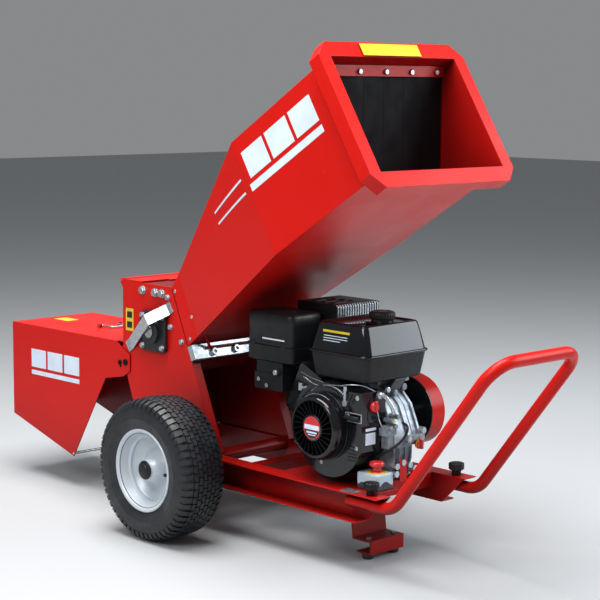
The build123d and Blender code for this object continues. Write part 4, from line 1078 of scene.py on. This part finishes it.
def build_engine_details():
    """Sump cover, strut, bracket, governor, studs, wires and labels on the handle side."""
    sump = Shape()
    cover = [(0.560, 0.236), (0.572, 0.236), (0.583, 0.300), (0.583, 0.322), (0.560, 0.322)]
    sump.prism(cover, -0.056, 0.004)
    rib = [(0.568, 0.240), (0.577, 0.240), (0.588, 0.300), (0.586, 0.318), (0.568, 0.318)]
    for y in (-0.050, -0.028, -0.006):
        sump.prism(rib, y, y + 0.004)
    sump.piece("crankcase_sump", grey_alloy, "cast_aluminium", bevel=0.0014)

    foot = [mm(498, -50, 424), mm(500, -12, 424), mm(516, -12, 421), mm(514, -50, 421)]
    head = [mm(516, -12, 490), mm(516, 34, 490), mm(536, 34, 489), mm(536, -12, 489)]
    strut = Shape().rings([foot, head])
    strut.piece("tank_strut", dark_plastic, "cast_aluminium", bevel=0.003)

    bracket = Shape().box((0.5900, -0.054, 0.2300), (0.5935, -0.027, 0.288))
    bracket.piece("engine_bracket", red, "red_paint", bevel=0.001)

    arm = Shape()
    bend = [mm(556, -88, 462), mm(568, -82, 452), mm(577, -72, 432), mm(582, -66, 410)]
    arm.tube(bend, 0.0058)
    arm.lathe([(9, 0), (9, 7), (6, 9)], mm(552, -94, 458), ALONG, 24)
    arm.lathe([(7, 0), (7, 6), (4, 7)], mm(552, -62, 470), ALONG, 24)
    arm.piece("governor_arm", zinc, "zinc")

    bosses = Shape()
    for y, z in ((-0.070, 0.392), (-0.058, 0.376), (-0.076, 0.372), (-0.050, 0.400)):
        bosses.rod((0.552, y, z), (0.584, y, z), 0.0065, 20, 0.001)
    bosses.box((0.550, -0.090, 0.352), (0.576, -0.050, 0.372))
    bosses.box((0.548, -0.078, 0.316), (0.574, -0.060, 0.352))
    bosses.piece("governor_bosses", aluminium, "cast_aluminium", bevel=0.001)

    tag = Shape().box((0.583, -0.072, 0.386), (0.5855, -0.064, 0.394))
    tag.piece("dipstick_tag", yellow_film, "red_plastic", bevel=0.0005)

    studs = Shape()
    for place in (mm(540, 30, 240), mm(300, 84, 240), mm(300, -40, 240)):
        studs.bolt(place - mm(0, 0, 8), UP, 0.010)
        studs.rod(place, place + mm(0, 0, 8), 0.0045, 16, 0.0008)
    for y, z in ((-0.064, 0.272), (-0.040, 0.279), (-0.014, 0.270), (-0.066, 0.252), (0.004, 0.258)):
        studs.rod((0.568, y, z), (0.594, y, z), 0.0062, 20, 0.0008)
        studs.bolt((0.594, y, z), ALONG, 0.0075)
    for x, z in ((0.133, 0.451), (0.165, 0.437)):
        studs.bolt((x, -0.1325, z), NEAR, 0.0055)
    for y, z in ((0.042, 0.352), (-0.012, 0.336)):
        studs.bolt((0.5895, y, z), ALONG, 0.006)
    studs.piece("engine_studs", zinc, "zinc")

    lead = [(562, -108, 418), (566, -106, 398), (568, -98, 380), (566, -86, 372), (562, -76, 376)]
    rod_back = [(470, -149, 480), (500, -148, 486), (528, -128, 484), (548, -104, 470)]
    rod_front = [(330, -151, 486), (380, -152, 470), (430, -150, 476), (476, -149, 480)]
    choke = [(300, -130, 492), (352, -146, 486), (404, -150, 480)]
    wires = Shape()
    for points, radius in ((lead, 0.0014), (rod_back, 0.0013), (rod_front, 0.0012), (choke, 0.0010)):
        wires.tube([mm(*point) for point in points], radius, 8)
    wires.piece("engine_wires", zinc, "zinc")

    lever = Shape()
    lever.rod((0.315, -0.146, 0.452), (0.343, -0.146, 0.458), 0.0042, 16, 0.001)
    lever.box((0.310, -0.150, 0.446), (0.322, -0.142, 0.466))
    lever.rod((0.205, -0.132, 0.478), (0.205, -0.140, 0.478), 0.008, 20, 0.001)
    lever.piece("fuel_lever", zinc, "zinc", bevel=0.0008)

    plate = Shape()
    plate.box((0.5470, -0.137, 0.331), (0.5488, -0.101, 0.362))
    plate.box((0.5470, -0.136, 0.3675), (0.5488, -0.099, 0.3745))
    plate.piece("engine_data_labels", white_film, "grey_plastic")


def build_engine_caps():
    knob = [(10, 545.4), (13.5, 547), (14, 549), (13.5, 555), (12, 557.4), (6, 558)]
    switch = Shape().lathe(knob, mm(0, -108, 430), ALONG, 40)
    switch.box((0.556, -0.1110, 0.4165), (0.562, -0.1050, 0.4460))
    switch.piece(
        "engine_switch_knob", red_plastic, "red_plastic", ["engine_switch"], "ignition_switch", bevel=0.0008
    )
    dipstick = mm(0, 30, 318)
    stem = [(4, 520), (4, 578.5), (12, 578.6), (13, 580), (13, 588), (12, 590.5), (6, 591.5)]
    cap = Shape().lathe(stem, dipstick, ALONG, 32)
    cap.box((0.5905, 0.0275, 0.3055), (0.5978, 0.0325, 0.3305))
    cap.piece("oil_cap", red_plastic, "red_plastic", ["oil_dipstick"], "dipstick", bevel=0.0007)
    ring = Shape().lathe([(13.8, 583), (13.8, 586.5)], dipstick, ALONG, 32)
    ring.piece("oil_cap_ring", yellow_film, "red_plastic", body="dipstick", bevel=0.0005)


build_stop_switch()
build_knob("near_clamp_grip", "near_knob", "near_clamp_knob")
build_knob("far_clamp_grip", "far_knob", "far_clamp_knob")
build_engine_block()
build_engine_details()
build_engine_caps()


# ---------------------------------------------------------------- hopper, curtain and housing trim


CREASE_LOW = Vector((0.309, 0, 0.814))
MOUTH_LOW = Vector((0.680, 0, 1.043))
FLARE_LOW = Vector((-0.096, -0.157, 0.545))
FLARE_HIGH = Vector((-0.181, -0.157, 0.715))
HOPPER_SIDE_Y = -0.236


def hopper_patch(along, across, length, width):
    """Corners of a flat patch on the hopper's near side, laid out along the duct."""
    u = (MOUTH_LOW - CREASE_LOW).normalized()
    v = Vector((-u.z, 0, u.x))
    base = CREASE_LOW + Vector((0, HOPPER_SIDE_Y, 0))
    corners = ((0, 0), (length, 0), (length, width), (0, width))
    return [base + u * (along + a) + v * (across + b) for a, b in corners]


def flare_point(share, rise, lift):
    """Point on the flare's near side: share towards the crease, rise up the side."""
    crease_high = Vector((0.136, HOPPER_SIDE_Y, 1.102))
    crease_low = Vector((CREASE_LOW.x, HOPPER_SIDE_Y, CREASE_LOW.z))
    low = FLARE_LOW.lerp(crease_low, share)
    high = FLARE_HIGH.lerp(crease_high, share)
    return low.lerp(high, rise) + Vector((0, -lift, 0))


def build_hopper_marks():
    marks = Shape()
    for along in (0.022, 0.126, 0.230):
        marks.sheet(hopper_patch(along, 0.217, 0.092, 0.076), NEAR, 0.0005)
    marks.sheet(hopper_patch(0.010, 0.184, 0.314, 0.020), NEAR, 0.0005)
    marks.piece("hopper_side_stripes", white_film, "red_paint")
    brow = [mm(488, -116, 1360.5), mm(488, 102, 1360.5), mm(506.3, 102, 1330.8), mm(506.3, -116, 1330.8)]
    label = Shape().sheet(brow, (0.851, 0, 0.525), 0.0006)
    label.piece("hopper_rim_label", yellow_film, "red_paint")
    outline = Shape()
    for rise_low, rise_high in ((0.0, 0.018), (0.118, 0.136)):
        section = ((rise_low, 0.0001), (rise_low, 0.0010), (rise_high, 0.0010), (rise_high, 0.0001))
        rings = []
        for step in range(9):
            share = lerp(0.60, 0.955, step / 8)
            middle = lerp(0.70, 0.585, step / 8)
            rings.append([flare_point(share, middle + rise, lift) for rise, lift in section])
        outline.rings(rings)
    outline.piece("flare_outline_stripes", white_film, "red_paint")


def build_chute_marks():
    marks = Shape()
    for x_low, x_high in ((-0.912, -0.834), (-0.824, -0.746), (-0.736, -0.658)):
        marks.box((x_low, -0.1609, 0.356), (x_high, -0.1603, 0.414))
    marks.box((-0.912, -0.1609, 0.332), (-0.658, -0.1603, 0.346))
    marks.piece("chute_side_stripes", white_film, "red_paint", body="chute")
    label = Shape().box((-0.976, -0.026, 0.4899), (-0.903, 0.020, 0.4904))
    label.piece("chute_top_label", yellow_film, "red_paint", body="chute")


def build_labels():
    near = Shape().box((-0.426, -0.1575, 0.527), (-0.390, -0.1568, 0.594))
    near.piece("housing_label", yellow_film, "red_paint")
    spots = Shape()
    for z in (0.536, 0.566):
        spots.box((-0.420, -0.1578, z), (-0.396, -0.1572, z + 0.019))
    spots.piece("housing_label_spots", black_film, "cap_plastic")
    data = Shape().box((0.506, -0.190, 0.2148), (0.554, -0.156, 0.2156))
    data.piece("data_plate", zinc, "zinc", bevel=0.0003)


def build_curtain():
    """Slit rubber strips, each a little bowed, hanging from the clamp bar."""
    low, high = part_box("curtain")
    strips = 6
    rows = 14
    curtain = Shape()
    rng = random.Random(5)
    width = (high.y - low.y) / strips
    for strip in range(strips):
        y_low = low.y + strip * width + 0.0004
        y_high = y_low + width - 0.0008
        bow = rng.uniform(0.0004, 0.0009)
        lean = rng.uniform(-0.0003, 0.0003)
        rings = []
        for row in range(rows + 1):
            z = lerp(low.z, high.z, row / rows)
            swing = (1 - row / rows) * lean
            front = []
            back = []
            for step in range(7):
                share = step / 6
                y = lerp(y_low, y_high, share)
                x = (low.x + high.x) / 2 + swing + bow * (0.5 - 2 * (share - 0.5) ** 2)
                front.append(Vector((x + 0.0008, y, z)))
                back.append(Vector((x - 0.0008, y, z)))
            rings.append(front + back[::-1])
        curtain.rings(rings)
    curtain.piece(
        "curtain_strips", curtain_black, "curtain_rubber", ["curtain"], "feed_curtain", smooth=60
    )


def build_housing_trim():
    """Bar under the hopper, beam round the axle, rear apron, chute bolt caps and rivets."""
    near_half = [(-95, -131, 549), (-104, -114, 527), (-111, -100, 511), (-112, -92, 506.5)]
    route = near_half + [(x, -y, z) for x, y, z in reversed(near_half)]
    bar = Shape()
    bar.tube([mm(*point) for point in route], 0.0042)
    bar.rod((AXLE.x, -0.143, AXLE.z), (AXLE.x, 0.143, AXLE.z), 0.020, 40)
    bar.piece("axle_beam_and_bar", red, "red_paint")
    apron = [(-0.4205, 0.3915), (-0.4165, 0.3915), (-0.3500, 0.2180), (-0.3540, 0.2180)]
    # Rear apron in the dark red that paints the housing's inner shade.
    Shape().prism(apron, -0.1515, 0.1515).piece("housing_rear_apron", painted_shade_red, "red_paint")
    caps = Shape()
    for x, z, radius in ((-0.425, 0.430, 0.0096), (-0.452, 0.427, 0.0076)):
        caps.rod((x, -0.1606, z), (x, -0.1636, z), radius, 24, 0.0006)
    caps.piece("chute_pivot_caps", dark, "cap_plastic")
    rivets = Shape()
    head = [(5, 157), (5, 158.2), (3.4, 159.4), (1.4, 159.8)]
    for x, z in ((-0.197, 0.664), (-0.123, 0.598), (-0.130, 0.534)):
        rivets.lathe(head, Vector((x, 0, z)), NEAR, 20)
    rivets.piece("hopper_flange_rivets", zinc, "zinc")


build_hopper_marks()
build_chute_marks()
build_labels()
build_curtain()
build_housing_trim()
